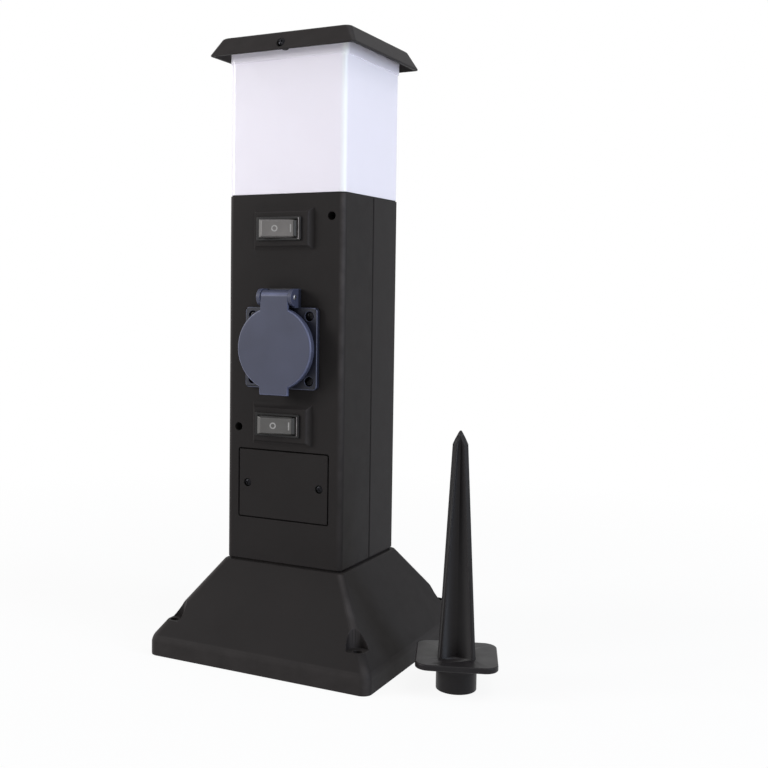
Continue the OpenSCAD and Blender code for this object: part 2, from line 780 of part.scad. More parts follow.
module pillar_tube() {
    difference() {
        union() {
            upright(pillar_w, pillar_corner_r, foot_h + shadow_gap_h, pillar_top);
            upright(pillar_w - 2 * shadow_gap_d, pillar_corner_r - shadow_gap_d, foot_h, foot_h + shadow_gap_h + bite);
        }
        upright(2 * inner, pillar_corner_r - pillar_wall, foot_h - bite, pillar_top + bite);
    }
    difference() {
        upright(pillar_w - pillar_wall, pillar_corner_r - pillar_wall / 2, tray_z - tray_ledge_t, tray_z);
        upright(2 * (inner - tray_ledge_w), pillar_corner_r - pillar_wall,
                tray_z - tray_ledge_t - bite, tray_z + bite);
    }
}

module seam_grooves() {
    for (x = [-1, 1])
        translate([x * face - seam_groove_d, seam_y - seam_groove_w / 2, foot_h - bite])
            cube([2 * seam_groove_d, seam_groove_w, pillar_h + 2 * bite]);
}

// Columns that the foot screws are driven into
module foot_columns(y) {
    for (x = [-1, 1])
        translate([x * foot_screw_x, y * foot_screw_y, foot_h]) cylinder(r = foot_boss_r, h = foot_boss_h);
}

module foot_column_holes(y) {
    for (x = [-1, 1])
        translate([x * foot_screw_x, y * foot_screw_y, foot_h - bite])
            cylinder(d = foot_screw_d + 2 * thread_clear, h = foot_screw_l + 2 * bite);
}

// Column for a tray screw, webbed to the nearest side wall
module tray_column(s) {
    translate([0, 0, tray_z - tray_boss_h]) {
        translate([s * tray_screw_at, s * tray_screw_at, 0]) cylinder(r = tray_boss_r, h = tray_boss_h);
        translate([s > 0 ? tray_screw_at : -inner - bite, s * tray_screw_at - tray_boss_r / 2, 0])
            cube([inner + bite - tray_screw_at, tray_boss_r, tray_boss_h]);
    }
}

module tray_column_hole(s) {
    translate([s * tray_screw_at, s * tray_screw_at, tray_z - tray_screw_l])
        cylinder(d = tray_screw_d + 2 * thread_clear, h = tray_screw_l + bite);
}

// Raised switch pad with sloping edges
module pad_profile(w, l) {
    rotate([90, 0, 0]) translate([0, 0, -l / 2]) linear_extrude(l)
        polygon([
            [-w / 2, -bite], [w / 2, -bite], [w / 2, 0],
            [w / 2 - pad_slope, pad_proud], [-w / 2 + pad_slope, pad_proud], [-w / 2, 0]
        ]);
}

module pad_block() {
    intersection() {
        pad_profile(pad_w, pad_h);
        rotate([0, 0, 90]) pad_profile(pad_h, pad_w);
    }
}

module switch_cutout() {
    translate([0, 0, -pillar_wall - bite])
        linear_extrude(pillar_wall + pad_proud + 2 * bite)
            square([box_l + 2 * switch_gap, box_w + 2 * switch_gap], center = true);
}

module at_flange_screws() {
    for (x = [-1, 1], y = [-1, 1]) translate([x * flange_at, y * flange_at, 0]) children();
}

module at_cover_screws() {
    for (x = [-1, 1]) translate([x * cover_screw_x, 0, 0]) children();
}

// What stands inside the front shell's wall
module front_columns() {
    seam_deep = face + seam_front;
    for (s = SHELL_SCREWS)
        on_front(s[0], s[1])
            translate([0, 0, -seam_deep]) cylinder(r = shell_boss_r, h = seam_deep - bite);
    foot_columns(-1);
    tray_column(-1);
    on_front(0, socket_z) at_flange_screws()
        translate([0, 0, -pillar_wall - flange_boss_l]) cylinder(r = flange_boss_r, h = flange_boss_l + bite);
    on_front(0, cover_z) {
        translate([0, 0, cover_low - cover_ledge_t])
            linear_extrude(cover_ledge_t - cover_low - bite)
                square([cover_room_w + 2 * cover_gap, cover_room_h + 2 * cover_ledge_t], center = true);
        at_cover_screws()
            translate([0, 0, cover_low - cover_screw_l]) cylinder(d = 2.6 * cover_screw_d, h = cover_screw_l);
    }
}

module front_cuts() {
    for (s = SHELL_SCREWS)
        on_front(s[0], s[1]) {
            translate([0, 0, -shell_recess_depth]) cylinder(d = shell_recess_d, h = shell_recess_depth + bite);
            translate([0, 0, -pillar_w]) cylinder(d = shell_screw_d + 2 * pass_clear, h = pillar_w);
        }
    foot_column_holes(-1);
    tray_column_hole(-1);
    on_front(switch_x, upper_switch_z) switch_cutout();
    on_front(switch_x, lower_switch_z) switch_cutout();
    on_front(0, socket_z) {
        translate([0, 0, -pillar_wall - bite]) cylinder(d = pot_d + 2 * pot_gap, h = pillar_wall + 2 * bite);
        at_flange_screws()
            translate([0, 0, -flange_screw_l]) cylinder(d = flange_screw_d + 2 * thread_clear, h = flange_screw_l + bite);
    }
    on_front(0, cover_z) {
        translate([0, 0, cover_low]) linear_extrude(bite - cover_low)
            rounded_rect(cover_room_w, cover_room_h, cover_r + cover_gap);
        translate([0, 0, cover_low - cover_ledge_t - bite]) linear_extrude(cover_ledge_t + 2 * bite)
            square([door_w, door_h], center = true);
        at_cover_screws()
            translate([0, 0, cover_low - cover_screw_l - bite])
                cylinder(d = cover_screw_d + 2 * thread_clear, h = cover_screw_l + 2 * bite);
    }
    for (x = [-1, 1])
        translate([x * (face - pillar_wall / 2 - seam_groove_d / 2) - seam_seal_w / 2 - push_clear,
                   seam_front - seam_seal_d, foot_h - bite])
            cube([seam_seal_w + 2 * push_clear, seam_seal_d + bite, pillar_h + 2 * bite]);
}

// Front half shell, with the switch pads, socket hole and access opening
module pillar_front() {
    color(black_plastic) difference() {
        union() {
            intersection() {
                pillar_tube();
                translate([-pillar_w, -pillar_w, 0]) cube([2 * pillar_w, pillar_w + seam_front, 2 * pillar_top]);
            }
            on_front(pad_x, upper_switch_z) pad_block();
            on_front(pad_x, lower_switch_z) pad_block();
            front_columns();
        }
        front_cuts();
        seam_grooves();
    }
}

// Rear half shell, with the posts for the shell screws and the terminal block
module pillar_rear() {
    color(black_plastic) difference() {
        union() {
            intersection() {
                pillar_tube();
                translate([-pillar_w, seam_rear, 0]) cube([2 * pillar_w, pillar_w, 2 * pillar_top]);
            }
            for (s = SHELL_SCREWS)
                translate([s[0], seam_rear, s[1]]) rotate([-90, 0, 0])
                    cylinder(r = shell_boss_r, h = inner + bite - seam_rear);
            foot_columns(1);
            tray_column(1);
            for (x = [-1, 1])
                translate([x * block_fix_x, block_back, cover_z]) rotate([-90, 0, 0])
                    cylinder(r = block_post_r, h = block_post_l + bite);
        }
        for (s = SHELL_SCREWS)
            translate([s[0], seam_rear - bite, s[1]]) rotate([-90, 0, 0])
                cylinder(d = shell_screw_d + 2 * thread_clear, h = shell_screw_l);
        foot_column_holes(1);
        tray_column_hole(1);
        for (x = [-1, 1])
            translate([x * block_fix_x, block_back - bite, cover_z]) rotate([-90, 0, 0])
                cylinder(d = block_screw_d + 2 * thread_clear, h = block_screw_l - block_d + 2 * bite);
        seam_grooves();
    }
}

// Seal strips in the seam, one on each side
module seam_seals() {
    color(rubber) for (x = [-1, 1])
        translate([x * (face - pillar_wall / 2 - seam_groove_d / 2) - seam_seal_w / 2,
                   seam_front - seam_seal_d + push_clear, foot_h + shadow_gap_h])
            cube([seam_seal_w, seam_seal_d + seam_gap - push_clear, pillar_h - shadow_gap_h - tray_drop]);
}

// Screws that draw the two shells together, deep in the front shell's columns
module shell_screws() {
    color(steel) for (s = SHELL_SCREWS)
        on_front(s[0], s[1])
            translate([0, 0, -shell_recess_depth])
                pan_screw(shell_screw_d, shell_screw_l, shell_recess_d - 2 * pass_clear, shell_screw_d);
}

// Flush cover of the terminal compartment
module access_cover() {
    color(black_plastic) on_front(0, cover_z) difference() {
        translate([0, 0, -cover_t]) linear_extrude(cover_t) rounded_rect(cover_w, cover_h, cover_r);
        at_cover_screws() {
            translate([0, 0, -cover_recess_depth]) cylinder(d = cover_recess_d, h = cover_recess_depth + bite);
            translate([0, 0, -cover_t - bite]) cylinder(d = cover_screw_d + 2 * pass_clear, h = cover_t + bite);
        }
    }
}

module cover_seal() {
    color(rubber) on_front(0, cover_z) translate([0, 0, cover_low]) linear_extrude(cover_seal_t)
        difference() {
            square([cover_w - 1, cover_h - 1], center = true);
            square([door_w, door_h], center = true);
            at_cover_screws() circle(d = cover_screw_d + 4 * pass_clear);
        }
}

module cover_screws() {
    color(steel) on_front(0, cover_z) at_cover_screws()
        translate([0, 0, -cover_recess_depth])
            pan_screw(cover_screw_d, cover_screw_l, cover_recess_d - 2 * pass_clear, cover_recess_depth - 0.3);
}

// Switch housing: bezel on the pad, open box behind it, bores for the rocker's pivot pins
module switch_body() {
    color(dark_plastic) difference() {
        union() {
            translate([0, 0, pad_proud]) linear_extrude(bezel_t) rounded_rect(bezel_l, bezel_w, bezel_r);
            translate([0, 0, box_back]) linear_extrude(switch_depth + bezel_t / 2)
                square([box_l, box_w], center = true);
        }
        translate([0, 0, box_back + switch_floor]) linear_extrude(switch_depth + bezel_t)
            square([window_l, window_w], center = true);
        translate([0, box_w / 2 + bite, pivot_out]) rotate([90, 0, 0])
            cylinder(r = pivot_r + pivot_clear, h = box_w + 2 * bite);
        for (x = [-1, 1])
            translate([x * tab_x, 0, box_back + switch_floor / 2])
                cube([tab_t + push_clear, tab_w + push_clear, switch_floor + bite], center = true);
    }
}

// Two terminal tabs through the housing's floor
module switch_tabs() {
    tab_in = 3;
    color(brass) for (x = [-1, 1])
        translate([x * tab_x - tab_t / 2, -tab_w / 2, tab_end])
            cube([tab_t, tab_w, tab_out + switch_floor + tab_in]);
}

// Rocker on its pivot, left end out: bevelled face, swinging heel, pivot pins top and bottom
module rocker() {
    half = rocker_l / 2;
    edge = rocker_rise - rocker_bevel_h;
    heel = 1.2;
    keel = 4.2;
    keel_half = 3;
    color([0.34, 0.32, 0.30]) translate([0, 0, pivot_out]) rotate([0, rocker_tilt, 0]) union() {
        intersection() {
            rotate([90, 0, 0]) translate([0, 0, -rocker_w / 2]) linear_extrude(rocker_w)
                polygon([
                    [-half + rocker_bevel_l, rocker_rise], [-half, edge], [-half + bite, -heel],
                    [-keel_half, -keel], [keel_half, -keel], [half - bite, -heel],
                    [half, edge], [half - rocker_bevel_l, rocker_rise]
                ]);
            rotate([90, 0, 90]) translate([0, 0, -rocker_l]) linear_extrude(2 * rocker_l)
                polygon([
                    [-rocker_w / 2, -2 * keel], [rocker_w / 2, -2 * keel], [rocker_w / 2, edge],
                    [rocker_w / 2 - rocker_bevel_w, rocker_rise], [-rocker_w / 2 + rocker_bevel_w, rocker_rise],
                    [-rocker_w / 2, edge]
                ]);
        }
        rotate([90, 0, 0]) translate([0, 0, -box_w / 2 + push_clear])
            cylinder(r = pivot_r, h = box_w - 2 * push_clear);
    }
}

module upper_switch_body() { on_front(switch_x, upper_switch_z) switch_body(); }
module upper_switch_tabs() { on_front(switch_x, upper_switch_z) switch_tabs(); }
module upper_rocker() { on_front(switch_x, upper_switch_z) rocker(); }
module lower_switch_body() { on_front(switch_x, lower_switch_z) switch_body(); }
module lower_switch_tabs() { on_front(switch_x, lower_switch_z) switch_tabs(); }
module lower_rocker() { on_front(switch_x, lower_switch_z) rocker(); }

// Ears and web that carry the lid's hinge pin
module hinge_bracket() {
    top = hinge_up + ear_r;
    for (x = [-bracket_w / 2, bracket_w / 2 - ear_t]) {
        translate([x, hinge_up, hinge_out]) rotate([0, 90, 0]) cylinder(r = ear_r, h = ear_t);
        translate([x, ear_low, flange_seal_t]) cube([ear_t, top - ear_low, hinge_out - flange_seal_t]);
    }
    translate([-bracket_w / 2, flange_w / 2 - ear_t, flange_seal_t])
        cube([bracket_w, top - flange_w / 2 + ear_t, hinge_web_t]);
}

// Socket moulding: flange, collar and pot in one piece with the hinge bracket
module socket_body() {
    color(lid_plastic) on_front(0, socket_z) union() {
        difference() {
            union() {
                translate([0, 0, flange_seal_t]) linear_extrude(flange_t) rounded_rect(flange_w, flange_w, flange_r);
                translate([0, 0, pot_back]) cylinder(d = pot_d, h = flange_seal_t + bite - pot_back);
                translate([0, 0, flange_seal_t]) cylinder(d = collar_d, h = collar_out - flange_seal_t);
                hinge_bracket();
            }
            translate([0, 0, recess_low]) cylinder(d = recess_d, h = recess_depth + bite);
            for (x = [-1, 1])
                translate([x * plug_pitch / 2, 0, pot_back - bite]) cylinder(d = plug_hole_d, h = pot_floor + 2 * bite);
            at_flange_screws() {
                translate([0, 0, flange_seat]) cylinder(d = flange_recess_d, h = flange_recess_depth + bite);
                translate([0, 0, -bite]) cylinder(d = flange_screw_d + 2 * pass_clear, h = flange_out);
            }
            for (y = [-1, 1])
                translate([0, y * (earth_y - earth_t / 2), pot_back + pot_floor / 2])
                    cube([earth_w + 2 * push_clear, earth_t + 2 * push_clear, pot_floor + bite], center = true);
            translate([0, 0, pot_back - bite])
                cylinder(d = back_screw_d + 2 * thread_clear, h = 0.7 * pot_floor + bite);
            translate([-bracket_w, hinge_up, hinge_out]) rotate([0, 90, 0])
                cylinder(r = pin_r + push_clear / 4, h = 2 * bracket_w);
        }
        for (x = [-1, 1])
            translate([x * recess_d / 2 - guide_in, -guide_w / 2, recess_low - bite])
                cube([2 * guide_in, guide_w, recess_depth - guide_in]);
    }
}

module socket_seal() {
    color(rubber) on_front(0, socket_z) linear_extrude(flange_seal_t) difference() {
        rounded_rect(flange_w - 1, flange_w - 1, flange_r);
        circle(d = pot_d + 2 * push_clear);
        at_flange_screws() circle(d = flange_screw_d + 4 * pass_clear);
    }
}

module socket_screws() {
    color(steel) on_front(0, socket_z) at_flange_screws()
        translate([0, 0, flange_seat])
            pan_screw(flange_screw_d, flange_seat + flange_screw_l - bite, flange_recess_d - 2 * pass_clear, 1.5);
}

// Round cover over the contacts, behind the pot
module socket_back() {
    wire_r = wire_d / 2 + push_clear;
    color(dark_plastic) on_front(0, socket_z) difference() {
        translate([0, 0, back_end]) cylinder(d = back_d, h = back_depth);
        difference() {
            translate([0, 0, back_end + back_wall]) cylinder(d = back_d - 2 * back_wall, h = back_depth);
            cylinder(r = back_screw_d, h = 4 * back_depth, center = true);
        }
        cylinder(d = back_screw_d + 2 * pass_clear, h = 4 * back_depth, center = true);
        translate([0, 0, pot_back])
            cube([strap_w + 4 * push_clear, back_d + bite, 2 * (earth_t + push_clear)], center = true);
        for (x = [-1, 1])
            translate([x * plug_pitch / 2, 0, back_end - bite]) cylinder(r = wire_r, h = back_wall + 2 * bite);
        translate([0, -back_d / 3, back_end - bite]) cylinder(r = wire_r, h = back_wall + 2 * bite);
    }
}

module socket_back_screw() {
    color(steel) on_front(0, socket_z) translate([0, 0, back_end]) rotate([180, 0, 0])
        pan_screw(back_screw_d, back_depth + 0.6 * pot_floor, 2 * back_screw_d, 0.7 * back_screw_d);
}

// Two split sleeves that grip a plug's pins
module plug_contacts() {
    sleeve_in = plug_hole_d / 2 - 0.2;
    sleeve_out = sleeve_in + 0.9;
    sleeve_l = back_depth - back_wall;
    slit = 0.8;
    color(brass) on_front(0, socket_z) for (x = [-1, 1])
        translate([x * plug_pitch / 2, 0, pot_back - sleeve_l]) difference() {
            cylinder(r = sleeve_out, h = sleeve_l);
            translate([0, 0, -bite]) cylinder(r = sleeve_in, h = sleeve_l + 2 * bite);
            translate([-sleeve_out, -slit / 2, sleeve_l / 3]) cube([2 * sleeve_out, slit, sleeve_l]);
        }
}

// Earth strap: a bar behind the pot's floor with a spring clip up each side of the recess
module earth_strap() {
    bend = recess_low + recess_depth * 0.55;
    nose = bend + 3.5;
    tip = nose + 2.5;
    nose_in = 1.8;
    color(brass) on_front(0, socket_z) difference() {
        union() {
            translate([-strap_w / 2, -earth_y, pot_back - earth_t]) cube([strap_w, 2 * earth_y, earth_t]);
            for (s = [0, 180])
                rotate([0, 0, s]) rotate([90, 0, 90]) translate([0, 0, -earth_w / 2]) linear_extrude(earth_w)
                    polygon([
                        [earth_y, pot_back - earth_t], [earth_y, bend], [earth_y - nose_in, nose],
                        [earth_y - nose_in / 2, tip], [earth_y - nose_in / 2 - earth_t, tip],
                        [earth_y - nose_in - earth_t, nose], [earth_y - earth_t, bend],
                        [earth_y - earth_t, pot_back - earth_t]
                    ]);
        }
        cylinder(d = back_screw_d + 2 * pass_clear, h = 4 * back_depth, center = true);
    }
}

// Sprung lid: plate with a rim, thumb tab below, tongue and hinge barrel above
module socket_lid() {
    color(lid_plastic) on_front(0, socket_z) difference() {
        union() {
            rotate_extrude() difference() {
                union() {
                    translate([0, lid_back - lid_rim_h]) square([lid_r - lid_edge_r, lid_t + lid_rim_h]);
                    translate([0, lid_back - lid_rim_h]) square([lid_r, lid_t + lid_rim_h - lid_edge_r]);
                    translate([lid_r - lid_edge_r, lid_out - lid_edge_r]) circle(r = lid_edge_r);
                }
                translate([-bite, lid_back - lid_rim_h - bite]) square([lid_r - lid_rim_t + bite, lid_rim_h + bite]);
            }
            translate([-thumb_w / 2, -lid_r - thumb_h, lid_back]) cube([thumb_w, lid_r / 3 + thumb_h, lid_t]);
            translate([-tongue_w / 2, lid_r * 2 / 3, lid_back]) cube([tongue_w, hinge_up - lid_r * 2 / 3, lid_t]);
            translate([-tongue_w / 2, hinge_up, hinge_out]) rotate([0, 90, 0]) cylinder(r = barrel_r, h = tongue_w);
        }
        translate([-tongue_w, hinge_up, hinge_out]) rotate([0, 90, 0])
            cylinder(r = pin_r + pin_clear, h = 2 * tongue_w);
        translate([-pocket_l / 2, hinge_up, hinge_out]) rotate([0, 90, 0]) cylinder(r = pocket_r, h = pocket_l);
        translate([-pocket_l / 2, hinge_up - pocket_r, hinge_out - 2 * barrel_r])
            cube([pocket_l, 2 * pocket_r, 2 * barrel_r]);
        translate([coil_l / 2, hinge_up - spring_leg - bite, hinge_out + coil_r]) rotate([-90, 0, 0])
            cylinder(r = coil_wire_r + push_clear, h = spring_leg + bite);
    }
}

module lid_seal() {
    color(rubber) on_front(0, socket_z) rotate_extrude()
        translate([recess_d / 2 + bite, collar_out + lid_seal_gap])
            square([(collar_d - recess_d) / 2 - bite, lid_back - collar_out - lid_seal_gap]);
}

module hinge_pin() {
    l = bracket_w + 2 * pin_proud;
    color(steel) on_front(0, socket_z) translate([-l / 2, hinge_up, hinge_out]) rotate([0, 90, 0])
        cylinder(r = pin_r, h = l);
}

// Torsion spring round the pin: one leg on the web, the coil, one leg in the lid's tongue
coil_steps = 12;
function coil_point(a, x) = [x, hinge_up - coil_r * cos(a), hinge_out - coil_r * sin(a)];
web_leg = hinge_out - flange_seal_t - hinge_web_t - coil_wire_r - push_clear;
coil_end = 270 + 360 * (coil_turns - 1);
spring_path = concat(
    [for (i = [0 : 2]) [-coil_l / 2, hinge_up + coil_r, hinge_out - web_leg * (3 - i) / 3]],
    [for (a = [180 : 360 / coil_steps : coil_end]) coil_point(a, coil_l * ((a - 180) / (coil_end - 180) - 0.5))],
    [for (i = [1 : 3]) [coil_l / 2, hinge_up - spring_leg * i / 3, hinge_out + coil_r]]
);
echo(least_spring_gap = least_gap(spring_path, coil_wire_r, coil_steps / 2));

module lid_spring() {
    color(steel) on_front(0, socket_z) tube(spring_path, coil_wire_r, 6);
}

// Tray that closes the pillar and carries the lamp holder and the diffuser
module lamp_tray() {
    color(black_plastic) difference() {
        union() {
            upright(spigot_w, spigot_r, tray_z, tray_top);
            difference() {
                upright(spigot_w, spigot_r, tray_z, pillar_top + spigot_h);
                upright(spigot_w - 2 * spigot_t, spigot_r / 2, tray_z - bite, pillar_top + spigot_h + bite);
            }
            for (s = [-1, 1])
                translate([s * (spigot_w / 2 - bite / 2), 0, snap_z])
                    cube([2 * snap_out + bite, snap_l, snap_h], center = true);
        }
        translate([0, 0, tray_z - bite]) cylinder(r = nipple_r + push_clear, h = tray_t + 2 * bite);
        for (x = [-1, 1])
            translate([x * lamp_wire_x, lamp_wire_y, tray_z - bite])
                cylinder(d = wire_d + 2 * pass_clear, h = tray_t + 2 * bite);
        for (s = [-1, 1])
            translate([s * tray_screw_at, s * tray_screw_at, tray_z - bite])
                cylinder(d = tray_screw_d + 2 * pass_clear, h = tray_t + 2 * bite);
    }
}

module tray_screws() {
    color(steel) for (s = [-1, 1])
        translate([s * tray_screw_at, s * tray_screw_at, tray_top])
            pan_screw(tray_screw_d, tray_screw_l, 1.9 * tray_screw_d, 0.7 * tray_screw_d);
}

// Lamp holder with its threaded nipple through the tray
module lamp_holder() {
    nut_room = 7;
    color([0.88, 0.88, 0.86]) difference() {
        union() {
            translate([0, 0, tray_top]) cylinder(r = holder_r, h = holder_h);
            translate([0, 0, tray_z - nut_room]) cylinder(r = nipple_r, h = tray_t + nut_room + bite);
        }
        translate([0, 0, holder_low]) cylinder(r = holder_bore_r, h = holder_h);
        for (x = [-1, 1])
            translate([x * lamp_wire_x, lamp_wire_y, tray_top - bite])
                cylinder(d = wire_d + 2 * push_clear, h = lamp_wire_in + bite);
    }
}

module holder_nut() {
    nut_t = 4;
    nut_r = 8;
    color(steel) translate([0, 0, tray_z - nut_t]) difference() {
        cylinder(r = nut_r, h = nut_t, $fn = 6);
        translate([0, 0, -bite]) cylinder(r = nipple_r + thread_clear, h = nut_t + 2 * bite);
    }
}

module lamp_sleeve() {
    color(brass) translate([0, 0, holder_low]) difference() {
        cylinder(r = holder_bore_r - push_clear, h = holder_h - holder_floor - 2);
        translate([0, 0, sleeve_t]) cylinder(r = holder_bore_r - push_clear - sleeve_t, h = holder_h);
        translate([0, 0, -bite]) cylinder(r = 1.5 * lamp_contact_r, h = 2 * bite + sleeve_t);
    }
}

module lamp_contact() {
    color(brass) translate([0, 0, holder_low]) cylinder(r = lamp_contact_r, h = lamp_contact_h);
}

// Screw cap of the bulb with its end contact
module bulb_cap() {
    groove_pitch = 3.6;
    color(steel) difference() {
        union() {
            translate([0, 0, bulb_cap_z]) cylinder(r = bulb_cap_r, h = bulb_cap_h);
            translate([0, 0, bulb_tip_z]) cylinder(r1 = lamp_contact_r, r2 = bulb_cap_r - 1, h = bulb_tip_h + bite);
        }
        for (i = [1 : 4])
            translate([0, 0, bulb_cap_z + i * groove_pitch])
                rotate_extrude() translate([bulb_cap_r + 0.3, 0]) circle(r = 0.9);
        translate([0, 0, bulb_cap_z + bulb_wall]) cylinder(r = bulb_cap_r - 2 * bulb_wall, h = bulb_cap_h);
    }
}

// Form of the bulb's glass, smaller all round by a wall for its inside
module bulb_form(wall) {
    neck_h = bulb_up - bulb_r / 2;
    cylinder(r1 = bulb_cap_r - wall, r2 = 0.86 * bulb_r - wall, h = neck_h);
    translate([0, 0, bulb_up]) sphere(r = bulb_r - wall);
}

// Bulb's glass, hollow and open towards its metal cap
module bulb_envelope() {
    color(opal) translate([0, 0, bulb_z]) difference() {
        bulb_form(0);
        bulb_form(bulb_wall);
        translate([0, 0, -bite]) cylinder(r = bulb_cap_r - 2 * bulb_wall, h = 2 * bite);
    }
}

// Roof screws pass along y at the front and at the rear
module at_roof_screws() {
    for (a = [0, 180]) rotate([0, 0, a]) translate([0, 0, roof_screw_z]) rotate([90, 0, 0]) children();
}

// Opal diffuser: square tube with a slightly wider rim under the roof
module diffuser() {
    color(opal) difference() {
        union() {
            upright(diffuser_w, diffuser_corner_r, diffuser_low, diffuser_top);
            upright(diffuser_w + 2 * rim_proud, diffuser_corner_r + rim_proud, eave_z - rim_show, diffuser_top);
        }
        upright(2 * diffuser_in, diffuser_corner_r - diffuser_wall, diffuser_low - bite, diffuser_top + bite);
        at_roof_screws() cylinder(d = roof_screw_d + 4 * pass_clear, h = diffuser_w);
        for (s = [-1, 1])
            translate([s * diffuser_in, 0, snap_z])
                cube([2 * (snap_out + 2 * push_clear - spigot_gap), snap_l + 1, snap_h + 4 * push_clear], center = true);
    }
}

module diffuser_seal() {
    color(rubber) difference() {
        upright(diffuser_w - 0.6, diffuser_corner_r, pillar_top, diffuser_low);
        upright(2 * max(inner, diffuser_in) + 2 * push_clear, diffuser_corner_r - diffuser_wall,
                pillar_top - bite, diffuser_low + bite);
    }
}

module roof_outside() {
    hull() {
        upright(eave_w, eave_corner_r, eave_z, eave_z + eave_t, $fn = 32);
        thin_slab(shoulder_w, shoulder_corner_r, eave_z + shoulder_up - slab);
        thin_slab(roof_flat_w, shoulder_corner_r, roof_top - slab);
    }
}

module roof_hollow() {
    hull() {
        thin_slab(eave_w - 2 * roof_wall, eave_corner_r - 1, eave_z - bite);
        thin_slab(shoulder_w - 2 * roof_wall, shoulder_corner_r - 1, roof_ceiling - slab);
        thin_slab(roof_flat_w, shoulder_corner_r - 1, roof_top - roof_wall - slab);
    }
}

// Roof cap: sloping eaves, shallow hipped top, skirt inside the diffuser, screw columns
module roof_cap() {
    skirt_low = eave_z - roof_skirt_down;
    // The ceiling rises towards the middle, so the skirt runs well into the roof's wall.
    skirt_high = roof_ceiling + roof_wall * 3 / 4;
    color(black_plastic) difference() {
        union() {
            intersection() {
                roof_outside();
                union() {
                    difference() {
                        translate([-eave_w, -eave_w, eave_z - bite]) cube([2 * eave_w, 2 * eave_w, eave_w]);
                        roof_hollow();
                    }
                    at_roof_screws() translate([0, 0, roof_boss_end]) cylinder(r = roof_boss_r, h = eave_w);
                }
            }
            difference() {
                upright(roof_skirt_w, spigot_r, skirt_low, skirt_high);
                upright(roof_skirt_w - 2 * roof_skirt_t, spigot_r / 2, skirt_low - bite, skirt_high + bite);
            }
            at_roof_screws()
                translate([0, 0, roof_skirt_w / 2 - roof_boss_l]) cylinder(r = roof_boss_r, h = roof_boss_l);
        }
        at_roof_screws() {
            translate([0, 0, roof_boss_end - bite]) cylinder(d = roof_screw_d + 2 * pass_clear, h = eave_w);
            translate([0, 0, roof_seat]) cylinder(d = roof_recess_d, h = eave_w);
            cylinder(d = roof_screw_d + 2 * thread_clear, h = eave_w / 2);
        }
    }
}

module roof_screws() {
    color(steel) at_roof_screws()
        translate([0, 0, roof_seat]) pan_screw(roof_screw_d, roof_screw_l, roof_recess_d - 2 * pass_clear, 1.6);
}

// Three-pole terminal block on the rear shell's posts
module terminal_block() {
    wire_r = wire_d / 2 + push_clear;
    color(opal) difference() {
        translate([-block_w / 2, block_front, cover_z - block_h / 2]) cube([block_w, block_d, block_h]);
        for (x = POLES) {
            translate([x - clamp_w / 2 - push_clear, block_front - bite, cover_z - clamp_h / 2 - push_clear])
                cube([clamp_w + 2 * push_clear, clamp_d + clamp_screw_l / 2 + bite, clamp_h + 2 * push_clear]);
            for (y = [-1, 1])
                translate([x, block_mid + y * wire_hole_pitch / 2, block_top - wire_hole_depth])
                    cylinder(r = wire_r, h = wire_hole_depth + bite);
            translate([x, block_mid, cover_z - block_h / 2 - bite]) cylinder(r = wire_r, h = wire_hole_depth + bite);
        }
        for (x = [-1, 1])
            translate([x * block_fix_x, block_front - bite, cover_z]) rotate([-90, 0, 0])
                cylinder(d = block_screw_d + 2 * pass_clear, h = block_d + 2 * bite);
    }
}

// Clamps sit at the back of their pockets
clamp_back = block_front + clamp_d + clamp_screw_l / 2;

module terminal_clamps() {
    color(brass) for (x = POLES)
        difference() {
            translate([x - clamp_w / 2, clamp_back - clamp_d, cover_z - clamp_h / 2]) cube([clamp_w, clamp_d, clamp_h]);
            translate([x, clamp_back - clamp_d - bite, cover_z]) rotate([-90, 0, 0])
                cylinder(d = clamp_screw_d + 2 * thread_clear, h = clamp_screw_l + bite);
        }
}

module terminal_screws() {
    color(steel) for (x = POLES)
        translate([x, clamp_back - clamp_d, cover_z]) rotate([90, 0, 0])
            pan_screw(clamp_screw_d, clamp_screw_l - bite, clamp_w - 1, clamp_screw_l / 3);
}

module block_screws() {
    color(steel) for (x = [-1, 1])
        translate([x * block_fix_x, block_front, cover_z]) rotate([90, 0, 0])
            pan_screw(block_screw_d, block_screw_l, 2 * block_screw_d, 0.7 * block_screw_d);
}

// Gland body through the deck, with its collar against the deck's underside
module gland_body() {
    color(dark_plastic) translate([0, gland_y, 0]) difference() {
        union() {
            translate([0, 0, gland_low]) cylinder(r = gland_thread_r, h = gland_top - gland_low);
            translate([0, 0, foot_h - deck_t - gland_collar_t]) cylinder(r = gland_hex_r, h = gland_collar_t, $fn = 6);
        }
        translate([0, 0, gland_low - bite]) cylinder(r = gland_bore_r, h = gland_top - gland_low + 2 * bite);
    }
}

module gland_nut() {
    color(dark_plastic) translate([0, gland_y, foot_h]) difference() {
        cylinder(r = gland_hex_r, h = gland_nut_t, $fn = 6);
        translate([0, 0, -bite]) cylinder(r = gland_thread_r + thread_clear, h = gland_nut_t + 2 * bite);
    }
}

module gland_dome() {
    wall_r = gland_thread_r + 2.2;
    color(dark_plastic) translate([0, gland_y, dome_low]) difference() {
        union() {
            cylinder(r1 = wall_r - gland_dome_end / 2, r2 = wall_r, h = gland_dome_end);
            translate([0, 0, gland_dome_end]) cylinder(r = wall_r, h = gland_dome_h - gland_dome_end);
        }
        translate([0, 0, -bite]) cylinder(r = gland_bore_r + 0.6, h = gland_dome_h);
        translate([0, 0, gland_dome_end]) cylinder(r = gland_thread_r + thread_clear, h = gland_dome_h);
    }
}

module gland_seal() {
    color(rubber) translate([0, gland_y, dome_low + gland_dome_end]) difference() {
        cylinder(r = gland_thread_r - push_clear, h = gland_low - dome_low - gland_dome_end);
        translate([0, 0, -bite]) cylinder(r = gland_bore_r + 0.3, h = gland_dome_h);
    }
}

